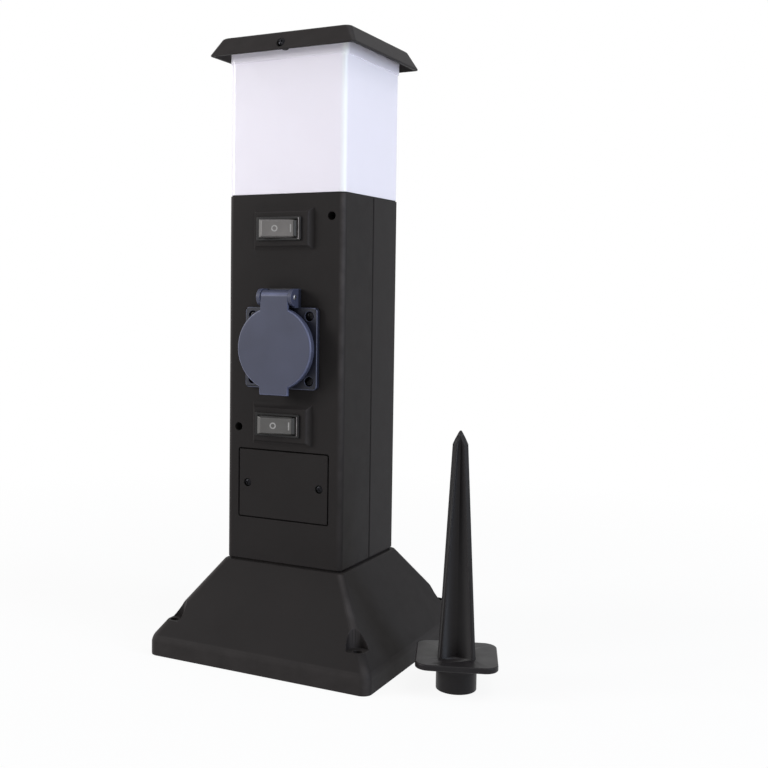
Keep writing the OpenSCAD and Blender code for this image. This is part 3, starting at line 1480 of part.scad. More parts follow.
// Ends of the inner wires
tab_y = -face - tab_end + push_clear;
plug_y = -face - back_end - back_wall - 2;
earth_end_y = -face - pot_back + earth_t + push_clear;
earth_end_z = socket_z - back_d / 3;
plug_x = plug_pitch / 2;
front_hole_y = block_mid - wire_hole_pitch / 2;
rear_hole_y = block_mid + wire_hole_pitch / 2;
wire_low = block_top - wire_hole_depth + push_clear;
lamp_end_z = tray_top + lamp_wire_in - push_clear;

LIVE_ROUTES = [
    [[-pole_pitch, front_hole_y, wire_low], [-pole_pitch, front_hole_y, wire_low + 9],
     [-11, 0, lower_switch_z - 12], [-7, -6, lower_switch_z - 2],
     [switch_x - tab_x, tab_y + 5, lower_switch_z], [switch_x - tab_x, tab_y, lower_switch_z]],
    [[switch_x + tab_x, tab_y, lower_switch_z], [switch_x + tab_x, tab_y + 5, lower_switch_z], [8, -2, lower_switch_z + 8],
     [plug_x, 5, lower_switch_z + 25], [plug_x, 5, socket_z - 7], [plug_x, -1, socket_z],
     [plug_x, -6, socket_z], [plug_x, plug_y, socket_z]],
    [[-pole_pitch, rear_hole_y, wire_low], [-pole_pitch, rear_hole_y, wire_low + 11],
     [-16, 16, lower_switch_z + 4], [-16, 18, socket_z], [-14, 12, upper_switch_z - 22],
     [-8, -3, upper_switch_z - 4], [switch_x - tab_x, tab_y + 6, upper_switch_z], [switch_x - tab_x, tab_y, upper_switch_z]],
    [[switch_x + tab_x, tab_y, upper_switch_z], [switch_x + tab_x, tab_y + 6, upper_switch_z], [8, 0, upper_switch_z + 3],
     [lamp_wire_x, 9, tray_z - 8], [lamp_wire_x, lamp_wire_y, tray_z - 1], [lamp_wire_x, lamp_wire_y, lamp_end_z]]
];

NEUTRAL_ROUTES = [
    [[0, front_hole_y, wire_low], [0, front_hole_y, wire_low + 9], [-4, 8, lower_switch_z + 4],
     [-plug_x, 8, socket_z - 20], [-plug_x, 5, socket_z - 7], [-plug_x, -1, socket_z],
     [-plug_x, -6, socket_z], [-plug_x, plug_y, socket_z]],
    [[0, rear_hole_y, wire_low], [0, rear_hole_y, wire_low + 11], [2, 18, lower_switch_z + 4],
     [2, 22, socket_z], [-4, 20, upper_switch_z - 18], [-lamp_wire_x, 14, tray_z - 9],
     [-lamp_wire_x, lamp_wire_y, tray_z - 1], [-lamp_wire_x, lamp_wire_y, lamp_end_z]]
];

EARTH_ROUTES = [
    [[pole_pitch, front_hole_y, wire_low], [pole_pitch, front_hole_y, wire_low + 11],
     [16, 10, lower_switch_z + 4], [10, 13, socket_z - 26], [2, 6, socket_z - 16],
     [0, -2, earth_end_z], [0, -8, earth_end_z], [0, earth_end_y, earth_end_z]]
];

module wires(routes) {
    for (route = routes) tube(smooth(led(route), 4), wire_d / 2, 8);
}

module live_wires() { color([0.42, 0.24, 0.12]) wires(LIVE_ROUTES); }
module neutral_wires() { color([0.12, 0.28, 0.70]) wires(NEUTRAL_ROUTES); }
module earth_wire() { color([0.45, 0.62, 0.12]) wires(EARTH_ROUTES); }

// Blade of the spike: a tapering plate with a point, on its side
module blade() {
    low = plug_h + plate_t - bite;
    high = spike_h - spike_tip_h;
    rotate([90, 0, 0]) translate([0, 0, -blade_t / 2]) linear_extrude(blade_t)
        polygon([
            [-blade_low_w / 2, low], [blade_low_w / 2, low], [blade_high_w / 2, high],
            [0, spike_h], [-blade_high_w / 2, high]
        ]);
}

// Round envelope of the blades that brings their tip to a point
module spike_point() {
    high = spike_h - spike_tip_h;
    cylinder(d = plate_w, h = high);
    translate([0, 0, high - bite])
        cylinder(r1 = blade_high_w / 2 + bite * blade_high_w / 2 / spike_tip_h, r2 = point_r, h = spike_tip_h + bite);
}

// Ground spike, standing on its plug beside the foot: plug, plate and crossed blades
module ground_spike() {
    color(black_plastic) translate([spike_x, -spike_y, 0]) rotate([0, 0, spike_turn]) union() {
        cylinder(d = plug_d, h = plug_h + bite);
        translate([0, 0, plug_h - plug_lip_h]) cylinder(d = plug_lip_d, h = plug_lip_h + bite);
        upright(plate_w, plate_r, plug_h, plug_h + plate_t);
        intersection() {
            for (a = [45, 135]) rotate([0, 0, a]) blade();
            spike_point();
        }
    }
}

// Whether a piece is wanted: all of them, or the one that node names.
function shown(name) = node == "all" || node == name;

if (shown("foot_base")) foot_base();
if (shown("pillar_front")) pillar_front();
if (shown("pillar_rear")) pillar_rear();
if (shown("seam_seals")) seam_seals();
if (shown("shell_screws")) shell_screws();
if (shown("foot_screws")) foot_screws();
if (shown("access_cover")) access_cover();
if (shown("cover_seal")) cover_seal();
if (shown("cover_screws")) cover_screws();
if (shown("upper_switch_body")) upper_switch_body();
if (shown("upper_switch_tabs")) upper_switch_tabs();
if (shown("upper_rocker")) upper_rocker();
if (shown("lower_switch_body")) lower_switch_body();
if (shown("lower_switch_tabs")) lower_switch_tabs();
if (shown("lower_rocker")) lower_rocker();
if (shown("socket_body")) socket_body();
if (shown("socket_seal")) socket_seal();
if (shown("socket_screws")) socket_screws();
if (shown("socket_back")) socket_back();
if (shown("socket_back_screw")) socket_back_screw();
if (shown("plug_contacts")) plug_contacts();
if (shown("earth_strap")) earth_strap();
if (shown("socket_lid")) socket_lid();
if (shown("lid_seal")) lid_seal();
if (shown("hinge_pin")) hinge_pin();
if (shown("lid_spring")) lid_spring();
if (shown("lamp_tray")) lamp_tray();
if (shown("tray_screws")) tray_screws();
if (shown("lamp_holder")) lamp_holder();
if (shown("holder_nut")) holder_nut();
if (shown("lamp_sleeve")) lamp_sleeve();
if (shown("lamp_contact")) lamp_contact();
if (shown("bulb_cap")) bulb_cap();
if (shown("bulb_envelope")) bulb_envelope();
if (shown("diffuser")) diffuser();
if (shown("diffuser_seal")) diffuser_seal();
if (shown("roof_cap")) roof_cap();
if (shown("roof_screws")) roof_screws();
if (shown("terminal_block")) terminal_block();
if (shown("terminal_clamps")) terminal_clamps();
if (shown("terminal_screws")) terminal_screws();
if (shown("block_screws")) block_screws();
if (shown("gland_body")) gland_body();
if (shown("gland_nut")) gland_nut();
if (shown("gland_dome")) gland_dome();
if (shown("gland_seal")) gland_seal();
if (shown("live_wires")) live_wires();
if (shown("neutral_wires")) neutral_wires();
if (shown("earth_wire")) earth_wire();
if (shown("ground_spike")) ground_spike();
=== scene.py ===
"""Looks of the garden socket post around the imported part, laid out as an add-on and run as a script."""

import json
import math

import bmesh
import bpy
from mathutils import Matrix, Vector


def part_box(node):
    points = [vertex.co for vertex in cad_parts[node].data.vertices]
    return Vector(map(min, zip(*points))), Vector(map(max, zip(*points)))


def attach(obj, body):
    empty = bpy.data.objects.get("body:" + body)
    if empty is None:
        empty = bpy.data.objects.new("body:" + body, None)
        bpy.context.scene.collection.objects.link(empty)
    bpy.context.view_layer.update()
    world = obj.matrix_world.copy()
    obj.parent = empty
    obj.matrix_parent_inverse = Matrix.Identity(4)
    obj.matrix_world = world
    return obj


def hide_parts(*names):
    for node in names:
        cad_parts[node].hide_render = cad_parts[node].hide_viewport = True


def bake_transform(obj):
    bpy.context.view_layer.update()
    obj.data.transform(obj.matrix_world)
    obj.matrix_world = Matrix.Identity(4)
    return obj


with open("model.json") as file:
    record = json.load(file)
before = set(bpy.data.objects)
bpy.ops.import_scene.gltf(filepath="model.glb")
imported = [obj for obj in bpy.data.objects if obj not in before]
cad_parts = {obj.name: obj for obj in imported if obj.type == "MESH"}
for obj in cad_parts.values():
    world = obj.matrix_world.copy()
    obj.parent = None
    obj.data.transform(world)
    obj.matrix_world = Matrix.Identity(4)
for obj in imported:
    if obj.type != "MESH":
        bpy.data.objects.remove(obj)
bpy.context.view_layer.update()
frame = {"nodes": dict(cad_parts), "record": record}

bl_info = {
    "name": "Garden socket post",
    "version": (1, 0, 0),
    "blender": (4, 5, 0),
    "location": "3D View > Sidebar > Post",
    "description": "Softened mouldings, screws, switch marks, finishes and stage of a garden socket post",
    "category": "Object",
}

MM = 0.001
X, Y, Z = range(3)

# How a copied solid is cleaned, rounded and shaded
MERGE_WITHIN = 1e-6
FLAT_WITHIN = math.radians(0.4)
SHARP_FROM = math.radians(25)
SMOOTH_UP_TO = math.radians(42)
ROUND_STEPS = 3
FOLD_STEPS = 6
NEAR = 0.06
EDGE = "edge"
SIDEWAYS_FROM = 0.6
CORNER_REACH = 6.0
# Shares that lighten a point's colour: rubbing, and painted highlight
NO_WEAR = 0.0
LIGHT_WEAR_AND_SHEEN = 0.15
FULL_HIGHLIGHT = 1.0

# Usual range of a noise value
NOISE_LOW = 0.3
NOISE_HIGH = 0.7

# Levels and reaches of the part that rounding, rubbed points and painted light look for, in millimetres
GROUND = 0.0
SKIRT_TOP = 11.0
FOOT_INSIDE = 74.1
LEDGE_INSIDE = 38.0
POCKET_AT = 64.0
POCKET_REACH = 7.1
POCKET_INSIDE = 6.6
POCKET_SHELF = 21.5
PILLAR_FACE = -40.5
PILLAR_EDGE = 38.8
SEAM_EDGE = 40.2
PAD_FACE = -44.5
PAD_INSIDE_X = 17.0
PAD_INSIDE_Z = 9.0
PAD_ROOM_X = 24.0
PAD_ROOM_Z = 15.0
SOCKET_ROOM = 32.0
SWITCH_LEVELS = {"upper": 268.0, "lower": 147.4}
GAP_TOP = 60.3
SEAM_FRONT = 1.0
SEAM_REAR = 2.0
BEZEL_FACE = -45.7
SUNK_EDGE = 11.7
ROCKER_HALF_WIDTH = 5.55
SOCKET_LEVEL = 195.0
FLANGE_FACE = -44.5
FLANGE_INSIDE = 24.4
COLLAR_FACE = -49.1
EAR_LOW = 220.0
LID_BACK = -46.0
LID_FRONT = -53.5
LID_FLAT = 24.3
LID_EDGE_FROM = 0.05
LID_EDGE_TO = 1.0
EAVE_LOW = 375.0
EAVE_HIGH = 375.8
EAVE_INSIDE = 48.0
SHOULDER = 386.3
ROOF_RECESS_LEVEL = 379.2
ROOF_RECESS_REACH = 2.95
ROOF_RECESS_FROM = 38.0
DIFFUSER_INSIDE = 38.5
PLATE_LOW = 16.9
PLATE_HIGH = 20.6
PLATE_INSIDE = 16.0
BLADE_RUN = 20.0

BODIES = frame["record"]["behaviour"]["bodies"]
BODY_OF = {node: body for body, nodes in BODIES.items() for node in nodes}
SLOT_OF = {entry["node"]: entry["material_slot"] for entry in frame["record"]["subparts"]}

# Screws that show: their finish, and each node with the height of its heads in millimetres
SCREW_FINISH = "screw_steel"
SCREW_HEADS = {
    "socket_screws": 1.5,
    "cover_screws": 1.2,
    "shell_screws": 2.6,
    "roof_screws": 1.6,
    "foot_screws": 2.45,
}


def colour(name, description, default):
    """Colour property with linear values."""
    return bpy.props.FloatVectorProperty(
        name=name, description=description, subtype="COLOR", size=3, min=0.0, max=1.0, default=default
    )


def length(name, description, millimetres):
    """Length property, given in millimetres and kept in metres."""
    return bpy.props.FloatProperty(
        name=name, description=description, subtype="DISTANCE", unit="LENGTH", min=0.0,
        default=millimetres * MM,
    )


def power(name, description, watts):
    """Power property of a light."""
    return bpy.props.FloatProperty(
        name=name, description=description, unit="POWER", min=0.0, default=watts
    )


class PostColours(bpy.types.PropertyGroup):
    """Colours of the post's finishes"""

    body: colour("Body", "Moulded plastic of foot, pillar and roof cap", (0.0204, 0.0184, 0.0182))
    spike: colour("Spike", "Moulded plastic of the ground spike", (0.0145, 0.0131, 0.0138))
    inner: colour("Inner plastic", "Switch housings, socket cover and gland", (0.0127, 0.0119, 0.0121))
    socket: colour("Socket", "Socket moulding and its lid", (0.0448, 0.0494, 0.083))
    # One smoky plastic for both rockers: the lower rocker's darker colour is painted shade
    upper_rocker: colour("Upper rocker", "Smoky plastic of the upper rocker", (0.115, 0.107, 0.103))
    lower_rocker: colour("Lower rocker", "Smoky plastic of the lower rocker", (0.06, 0.057, 0.054))
    marks: colour("Marks", "Print of the marks on the rockers", (0.33, 0.32, 0.31))
    rubber: colour("Seals", "Rubber of all seals", (0.008, 0.008, 0.008))
    steel: colour("Steel", "Zinc plated steel", (0.55, 0.55, 0.57))
    screws: colour("Screws", "Dark plated steel of the screws that show", (0.016, 0.016, 0.018))
    brass: colour("Brass", "Contacts, clamps and tabs", (0.70, 0.52, 0.22))
    opal: colour("Diffuser", "Opal plastic of the lantern", (0.81, 0.775, 0.855))
    lamp: colour("Lamp holder", "Pale plastic of the lamp holder", (0.75, 0.75, 0.72))
    bulb: colour("Bulb", "Frosted glass of the bulb", (0.90, 0.90, 0.88))
    block: colour("Terminal block", "Pale plastic of the terminal block", (0.70, 0.70, 0.68))
    live: colour("Live wires", "Insulation of the live wires", (0.14, 0.05, 0.02))
    neutral: colour("Neutral wires", "Insulation of the neutral wires", (0.02, 0.08, 0.42))
    earth: colour("Earth wire", "Green of the earth wire's stripes", (0.06, 0.30, 0.03))
    earth_stripe: colour("Earth stripe", "Yellow of the earth wire's stripes", (0.72, 0.56, 0.02))


class PostSizes(bpy.types.PropertyGroup):
    """Sizes of the detail that the looks add"""

    fold: length("Foot fold", "Rounding where the foot's skirt meets its slope", 3.0)
    ledge: length("Foot ledge", "Rounding of the foot's upper edge", 0.8)
    hem: length("Hem", "Rounding of the lower edges that stand on the ground", 0.5)
    pocket: length("Pocket rim", "Rounding of the foot's screw pockets", 0.4)
    pad: length("Switch pad", "Rounding of the raised switch pads", 0.5)
    rim: length("Rims", "Rounding of openings and upper rims", 0.25)
    seam: length("Seam", "Rounding of the pillar's shells where they meet", 0.6)
    rocker: length("Rocker", "Rounding of the rockers", 0.35)
    bezel: length("Bezel", "Rounding of the bezel's inner edge at the rocker's sunk end", 0.8)
    flange: length("Socket flange", "Rounding of the socket's flange", 0.6)
    lid: length("Lid tab", "Rounding of the front of the lid's tab", 0.7)
    hinge: length("Lid hinge", "Rounding of ears, tongue and pin", 0.3)
    shoulder: length("Roof shoulder", "Rounding of the roof's shoulder", 1.4)
    plate: length("Spike plate", "Rounding of the spike's plate", 0.8)
    blade: length("Spike blades", "Rounding of the spike's blades", 0.35)
    recess_width: length("Recess width", "Width of the slots in a screw's cross recess", 0.7)
    recess_depth: length("Recess depth", "Depth of a screw's cross recess", 0.7)
    ring_radius: length("Ring radius", "Outer radius of the off mark", 2.0)
    bar_height: length("Bar height", "Height of the on mark", 5.0)
    mark_stroke: length("Mark stroke", "Width of the marks' lines", 0.8)
    mark_relief: length("Mark relief", "How far the print stands out", 0.05)


class PostStage(bpy.types.PropertyGroup):
    """Floor, light and camera"""

    key: power("Key light", "Power of the large light at the left", 24.0)
    fill: power("Fill light", "Power of the light at the right", 15.0)
    top: power("Top light", "Power of the light above", 11.5)
    room: bpy.props.FloatProperty(name="Room light", description="Strength of the even light all round",
                                  min=0.0, max=1.0, subtype="FACTOR", default=0.3)
    cool: colour("Fill colour", "Colour of the light at the right", (0.72, 0.83, 1.0))
    floor: colour("Floor", "Colour of the floor and the room", (1.0, 1.0, 1.0))
    lens: bpy.props.FloatProperty(name="Lens", description="Focal length of the camera",
                                  unit="CAMERA", min=1.0, default=52.177)


# Materials


def blank(name):
    """New material with its tree and its surface shader."""
    material = bpy.data.materials.new(f"{name}_finish")
    material.use_nodes = True
    tree = material.node_tree
    return material, tree, tree.nodes["Principled BSDF"]


def node(tree, kind, inputs=None, **settings):
    """New node whose inputs are set to values or linked to outputs."""
    made = tree.nodes.new(kind)
    for key, value in settings.items():
        setattr(made, key, value)
    for key, value in (inputs or {}).items():
        if isinstance(value, bpy.types.NodeSocket):
            tree.links.new(value, made.inputs[key])
        else:
            made.inputs[key].default_value = value
    return made


def object_place(tree, stretch=None):
    """Object coordinates, stretched along an axis if asked."""
    place = node(tree, "ShaderNodeTexCoord").outputs["Object"]
    if stretch is None:
        return place
    return node(tree, "ShaderNodeMapping", {"Vector": place, "Scale": stretch}).outputs["Vector"]


def noise(tree, place, per_metre, detail=3.0):
    """Noise with that many features in a metre."""
    made = node(tree, "ShaderNodeTexNoise", {"Vector": place, "Scale": per_metre, "Detail": detail})
    return made.outputs["Fac"]


def spread(tree, value, low, high):
    """Noise value from its usual range to the range from low to high."""
    made = node(tree, "ShaderNodeMapRange", {
        "Value": value, "From Min": NOISE_LOW, "From Max": NOISE_HIGH, "To Min": low, "To Max": high,
    })
    return made.outputs["Result"]


def maths(tree, operation, first, second):
    """Result of a sum on two values or sockets."""
    return node(tree, "ShaderNodeMath", {0: first, 1: second}, operation=operation).outputs[0]


def shade(tint, share):
    """Tint made darker or lighter by a share, as a colour with alpha."""
    return [min(part * share, 1.0) for part in tint] + [1.0]


def tone(tree, value, dark, light):
    """Colour that runs from dark to light with a noise value."""
    made = node(tree, "ShaderNodeValToRGB", {"Fac": value})
    low, high = made.color_ramp.elements
    low.position, low.color = NOISE_LOW, dark
    high.position, high.color = NOISE_HIGH, light
    return made.outputs["Color"]


def drifting(tree, value, tint, swing):
    """Tint that a noise value makes darker and lighter by a share."""
    return tone(tree, value, shade(tint, 1.0 - swing), shade(tint, 1.0 + swing))


def blended(tree, share, first, second):
    """Colour between two colours."""
    first_colour, second_colour, result = 6, 7, 2
    inputs = {0: share, first_colour: first, second_colour: second}
    return node(tree, "ShaderNodeMix", inputs, data_type="RGBA").outputs[result]


def wear_and_sheen_of(tree):
    """Share of rubbing and painted highlight that is kept on the piece's points."""
    return node(tree, "ShaderNodeAttribute", attribute_name=EDGE).outputs["Fac"]


def paint(tree, surface, base, rough):
    """Links a colour and a roughness to the surface."""
    tree.links.new(base, surface.inputs["Base Color"])
    tree.links.new(rough, surface.inputs["Roughness"])


def grained(tree, surface, layers):
    """Chain of bumps on the surface, one for each height with its strength and depth."""
    normal = None
    for height, strength, depth in layers:
        inputs = {"Height": height, "Strength": strength, "Distance": depth}
        if normal is not None:
            inputs["Normal"] = normal
        normal = node(tree, "ShaderNodeBump", inputs).outputs["Normal"]
    tree.links.new(normal, surface.inputs["Normal"])


def settle(surface, **values):
    """Values that are the same all over a surface, set on the shader itself."""
    for key, value in values.items():
        surface.inputs[key.replace("_", " ")].default_value = value


def moulded(name, tint, rough, shine, grain, wear_and_sheen_gain=2.2, painted_shadow=None, tone_swing=0.05):
    """Moulded plastic: drifting tone, grain in millimetres, edges polished by handling and lightened by
    rubbing and painted highlights, and painted shadow where a mask asks.
    """
    drift_per_metre, cloud_per_metre, grain_per_metre, pore_per_metre = 26.0, 110.0, 900.0, 2600.0
    rough_swing, pore_share, painted_shadow_share, least_wear_and_sheen = 0.03, 0.4, 0.3, 0.5
    edge_polish, grain_strength, pore_strength, grain_depth = 0.72, 0.35, 0.2, grain * MM
    material, tree, surface = blank(name)
    place = object_place(tree)
    drift = noise(tree, place, drift_per_metre)
    cloud = noise(tree, place, cloud_per_metre)
    bumps = noise(tree, place, grain_per_metre)
    pores = node(tree, "ShaderNodeTexVoronoi", {"Vector": place, "Scale": pore_per_metre}).outputs["Distance"]
    # Rubbing and painted highlight kept on the points lighten the colour and polish the surface
    wear_and_sheen = maths(tree, "MULTIPLY", wear_and_sheen_of(tree), spread(tree, cloud, least_wear_and_sheen, 1.0))
    base = drifting(tree, drift, tint, tone_swing)
    # Painted shadow: where the mask is 1, the tone falls to a share of the tint
    if painted_shadow is not None:
        base = blended(tree, painted_shadow(tree, place), base, shade(tint, painted_shadow_share))
    polish = maths(tree, "MULTIPLY", wear_and_sheen, rough * (edge_polish - 1.0))
    gloss = maths(tree, "ADD", spread(tree, cloud, rough - rough_swing, rough + rough_swing), polish)
    paint(tree, surface, blended(tree, wear_and_sheen, base, shade(tint, wear_and_sheen_gain)), gloss)
    grained(tree, surface, [
        (bumps, grain_strength, grain_depth), (pores, pore_strength, grain_depth * pore_share),
    ])
    settle(surface, Specular_IOR_Level=shine)
    return material


def lid_shadow_mask(tree, place):
    """Painted shadow of the lid: 1 on the socket's flange and all that lies behind its face, 0 on collar and
    hinge.
    """
    depth = node(tree, "ShaderNodeSeparateXYZ", {0: place}).outputs["Y"]
    return maths(tree, "GREATER_THAN", depth, (FLANGE_FACE - NEAR) * MM)


def metal(name, tint, rough, stretch):
    """Plated or drawn metal: faint streaks along the drawing and a mottled gloss."""
    streak_per_metre, mottle_per_metre = 700.0, 160.0
    tone_swing, rough_swing, streak_depth, streak_strength = 0.14, 0.1, 0.02 * MM, 0.3
    material, tree, surface = blank(name)
    streaks = noise(tree, object_place(tree, stretch), streak_per_metre)
    mottle = noise(tree, object_place(tree), mottle_per_metre)
    gloss = spread(tree, streaks, rough - rough_swing, rough + rough_swing)
    paint(tree, surface, drifting(tree, mottle, tint, tone_swing), gloss)
    grained(tree, surface, [(streaks, streak_strength, streak_depth)])
    settle(surface, Metallic=1.0)
    return material


def opal_plastic(name, tint):
    """Milky plastic: light spreads inside it, with soft clouds of density, an uneven gloss and painted
    highlight on lit corners.
    """
    cloud_per_metre, ripple_per_metre = 16.0, 70.0
    tone_swing, rough_low, rough_high, corner_highlight_gain = 0.015, 0.2, 0.26, 1.3
    material, tree, surface = blank(name)
    place = object_place(tree)
    base = drifting(tree, noise(tree, place, cloud_per_metre), tint, tone_swing)
    base = blended(tree, wear_and_sheen_of(tree), base, shade(tint, corner_highlight_gain))
    paint(tree, surface, base, spread(tree, noise(tree, place, ripple_per_metre), rough_low, rough_high))
    settle(surface, Subsurface_Weight=0.25, Subsurface_Radius=(1.0, 1.0, 1.0), Subsurface_Scale=3.0 * MM)
    return material


def smoky_plastic(name, tint):
    """Glossy tinted plastic with smudges, a clear skin and painted shade on the end where the rocker dips in.
    """
    smudge_per_metre, cloud_per_metre = 320.0, 60.0
    tone_swing, rough_low, rough_high, wear_and_sheen_gain = 0.2, 0.3, 0.42, 1.9
    smudge_depth, smudge_strength = 0.01 * MM, 0.15
    end_from, end_to, end_painted_shade = 8.8 * MM, 9.2 * MM, 0.06
    material, tree, surface = blank(name)
    place = object_place(tree)
    smudge = noise(tree, place, smudge_per_metre)
    base = drifting(tree, noise(tree, place, cloud_per_metre), tint, tone_swing)
    base = blended(tree, wear_and_sheen_of(tree), base, shade(tint, wear_and_sheen_gain))
    # Painted shade on the rocker's sunk end
    along = node(tree, "ShaderNodeSeparateXYZ", {0: place}).outputs["X"]
    end = node(tree, "ShaderNodeMapRange", {"Value": along, "From Min": end_from, "From Max": end_to})
    base = blended(tree, end.outputs["Result"], base, shade(tint, end_painted_shade))
    paint(tree, surface, base, spread(tree, smudge, rough_low, rough_high))
    grained(tree, surface, [(smudge, smudge_strength, smudge_depth)])
    settle(surface, Coat_Weight=0.25, Coat_Roughness=0.3)
    return material


def printed(name, tint):
    """Pale print, thinned in places by fingers."""
    wear_per_metre = 900.0
    worn_shade, rough_low, rough_high = 0.72, 0.35, 0.55
    material, tree, surface = blank(name)
    tone_shift = noise(tree, object_place(tree), wear_per_metre)
    base = tone(tree, tone_shift, shade(tint, worn_shade), shade(tint, 1.0))
    paint(tree, surface, base, spread(tree, tone_shift, rough_low, rough_high))
    return material


def frosted_glass(name, tint):
    """Bulb glass, frosted unevenly on its inside."""
    frost_per_metre = 500.0
    rough_low, rough_high, frost_swing = 0.35, 0.6, 0.06
    material, tree, surface = blank(name)
    frost = noise(tree, object_place(tree), frost_per_metre)
    base = tone(tree, frost, shade(tint, 1.0 - frost_swing), shade(tint, 1.0))
    paint(tree, surface, base, spread(tree, frost, rough_low, rough_high))
    settle(surface, Transmission_Weight=0.5)
    return material


def striped_insulation(name, green, yellow):
    """Earth wire: green with yellow bands, satin."""
    bands_per_metre, cloud_per_metre = 26.0, 150.0
    rough_low, rough_high, band_edge, band_blur = 0.38, 0.5, 0.62, 0.04
    material, tree, surface = blank(name)
    place = object_place(tree)
    wave = node(tree, "ShaderNodeTexWave", {"Vector": place, "Scale": bands_per_metre},
                bands_direction="DIAGONAL")
    bands = node(tree, "ShaderNodeMapRange", {
        "Value": wave.outputs["Fac"], "From Min": band_edge - band_blur, "From Max": band_edge + band_blur,
    }).outputs["Result"]
    base = blended(tree, bands, shade(green, 1.0), shade(yellow, 1.0))
    paint(tree, surface, base, spread(tree, noise(tree, place, cloud_per_metre), rough_low, rough_high))
    return material


def make_finish(name):
    """New finish of that name."""
    tints = bpy.context.scene.post_colours
    along_y, along_z, even = (1.0, 0.1, 1.0), (1.0, 1.0, 0.1), (1.0, 1.0, 1.0)
    finishes = {
        # Body plastic: a strong gain turns the points' share into painted highlights on corners
        "black_plastic": (moulded, dict(tint=tints.body, rough=0.52, shine=0.05, grain=0.05, wear_and_sheen_gain=3.6)),
        "spike_plastic": (moulded, dict(tint=tints.spike, rough=0.4, shine=0.14, grain=0.04, wear_and_sheen_gain=2.8)),
        # Socket moulding: painted shadow of the lid on its flange
        "socket_plastic": (moulded, dict(
            tint=tints.socket, rough=0.42, shine=0.35, grain=0.03, wear_and_sheen_gain=2.0, painted_shadow=lid_shadow_mask)),
        # Lid: its roundings and disc edge lighten as painted highlights
        "lid_plastic": (moulded, dict(
            tint=tints.socket, rough=0.42, shine=0.35, grain=0.03, wear_and_sheen_gain=2.4, tone_swing=0.16)),
        "dark_plastic": (moulded, dict(tint=tints.inner, rough=0.36, shine=0.2, grain=0.03, wear_and_sheen_gain=5.0)),
        # Bezel: a very strong gain makes its marked points a painted highlight
        "bezel_plastic": (moulded, dict(tint=tints.inner, rough=0.36, shine=0.2, grain=0.03, wear_and_sheen_gain=30.0)),
        "rubber": (moulded, dict(tint=tints.rubber, rough=0.75, shine=0.2, grain=0.04)),
        "lamp_plastic": (moulded, dict(tint=tints.lamp, rough=0.45, shine=0.5, grain=0.02, wear_and_sheen_gain=1.05)),
        "block_plastic": (moulded, dict(tint=tints.block, rough=0.5, shine=0.5, grain=0.02, wear_and_sheen_gain=1.05)),
        "live_insulation": (moulded, dict(tint=tints.live, rough=0.42, shine=0.5, grain=0.02)),
        "neutral_insulation": (moulded, dict(tint=tints.neutral, rough=0.42, shine=0.5, grain=0.02)),
        "earth_insulation": (striped_insulation, dict(green=tints.earth, yellow=tints.earth_stripe)),
        "upper_rocker_plastic": (smoky_plastic, dict(tint=tints.upper_rocker)),
        "lower_rocker_plastic": (smoky_plastic, dict(tint=tints.lower_rocker)),
        "rocker_print": (printed, dict(tint=tints.marks)),
        "steel": (metal, dict(tint=tints.steel, rough=0.34, stretch=along_z)),
        "screw_steel": (metal, dict(tint=tints.screws, rough=0.36, stretch=even)),
        "brass": (metal, dict(tint=tints.brass, rough=0.32, stretch=along_y)),
        "opal_plastic": (opal_plastic, dict(tint=tints.opal)),
        "bulb_glass": (frosted_glass, dict(tint=tints.bulb)),
    }
    maker, values = finishes[name]
    return maker(name, **values)


def finish_of(name):
    """The finish of that name, made at its first use."""
    return bpy.data.materials.get(f"{name}_finish") or make_finish(name)


# Shapes


def merged(cad_node):
    """Copy of a CAD node with joined corners and whole flats, to be freed by the caller."""
    form = bmesh.new()
    form.from_mesh(frame["nodes"][cad_node].data)
    bmesh.ops.remove_doubles(form, verts=form.verts, dist=MERGE_WITHIN)
    bmesh.ops.dissolve_limit(form, angle_limit=FLAT_WITHIN, verts=form.verts, edges=form.edges)
    return form


def placed(name, data):
    """New object with that data, put in the scene."""
    made = bpy.data.objects.new(name, data)
    bpy.context.scene.collection.objects.link(made)
    return made


def smooth_piece(name, mesh):
    """Object with that mesh, smooth but for its sharp edges."""
    mesh.shade_smooth()
    mesh.set_sharp_from_angle(angle=SMOOTH_UP_TO)
    return placed(name, mesh)


def piece_from(form, name):
    """Object made from a shape, which is then freed."""
    mesh = bpy.data.meshes.new(name)
    form.to_mesh(mesh)
    form.free()
    return smooth_piece(name, mesh)


def ends(edge):
    """Both ends of an edge, in millimetres."""
    return [vert.co / MM for vert in edge.verts]


def level(edge, axis, value):
    """Both ends of the edge lie at that value along the axis."""
    return all(abs(end[axis] - value) < NEAR for end in ends(edge))


def middle(edge):
    """Middle of an edge, in millimetres."""
    first, second = ends(edge)
    return (first + second) / 2


def outreach(edge):
    """How far the edge's middle lies from the post's axis, along the farther side."""
    point = middle(edge)
    return max(abs(point.x), abs(point.y))


def is_outward(edge):
    """The edge is sharp and points out of the solid."""
    return len(edge.link_faces) == 2 and edge.calc_face_angle_signed() > SHARP_FROM


def corner_highlight_share(vert):
    """Painted highlight on upright outer corners: 1 in the middle of the corner, 0 on the flats beside it."""
    across = Vector((abs(vert.normal.x), abs(vert.normal.y)))
    outside = vert.normal.x * vert.co.x > 0 and vert.normal.y * vert.co.y > 0
    beside = abs(abs(vert.co.x) - abs(vert.co.y)) > CORNER_REACH * MM
    if beside or not outside or across.length < SIDEWAYS_FROM:
        return 0.0
    return math.sin(2 * math.atan2(across.y, across.x)) ** 2


def put_in_order(form):
    """Sorts points, edges and faces by place, because rounding leaves them in another order in each run."""

    def by_points(part):
        return sorted(vert.index for vert in part.verts)

    for parts, key in (
        (form.verts, lambda vert: tuple(vert.co)), (form.edges, by_points), (form.faces, by_points),
    ):
        for index, part in enumerate(sorted(parts, key=key)):
            part.index = index
        parts.sort()


def unworn(vert):
    """No wear on a point."""
    # Nothing lightens the point.
    return NO_WEAR


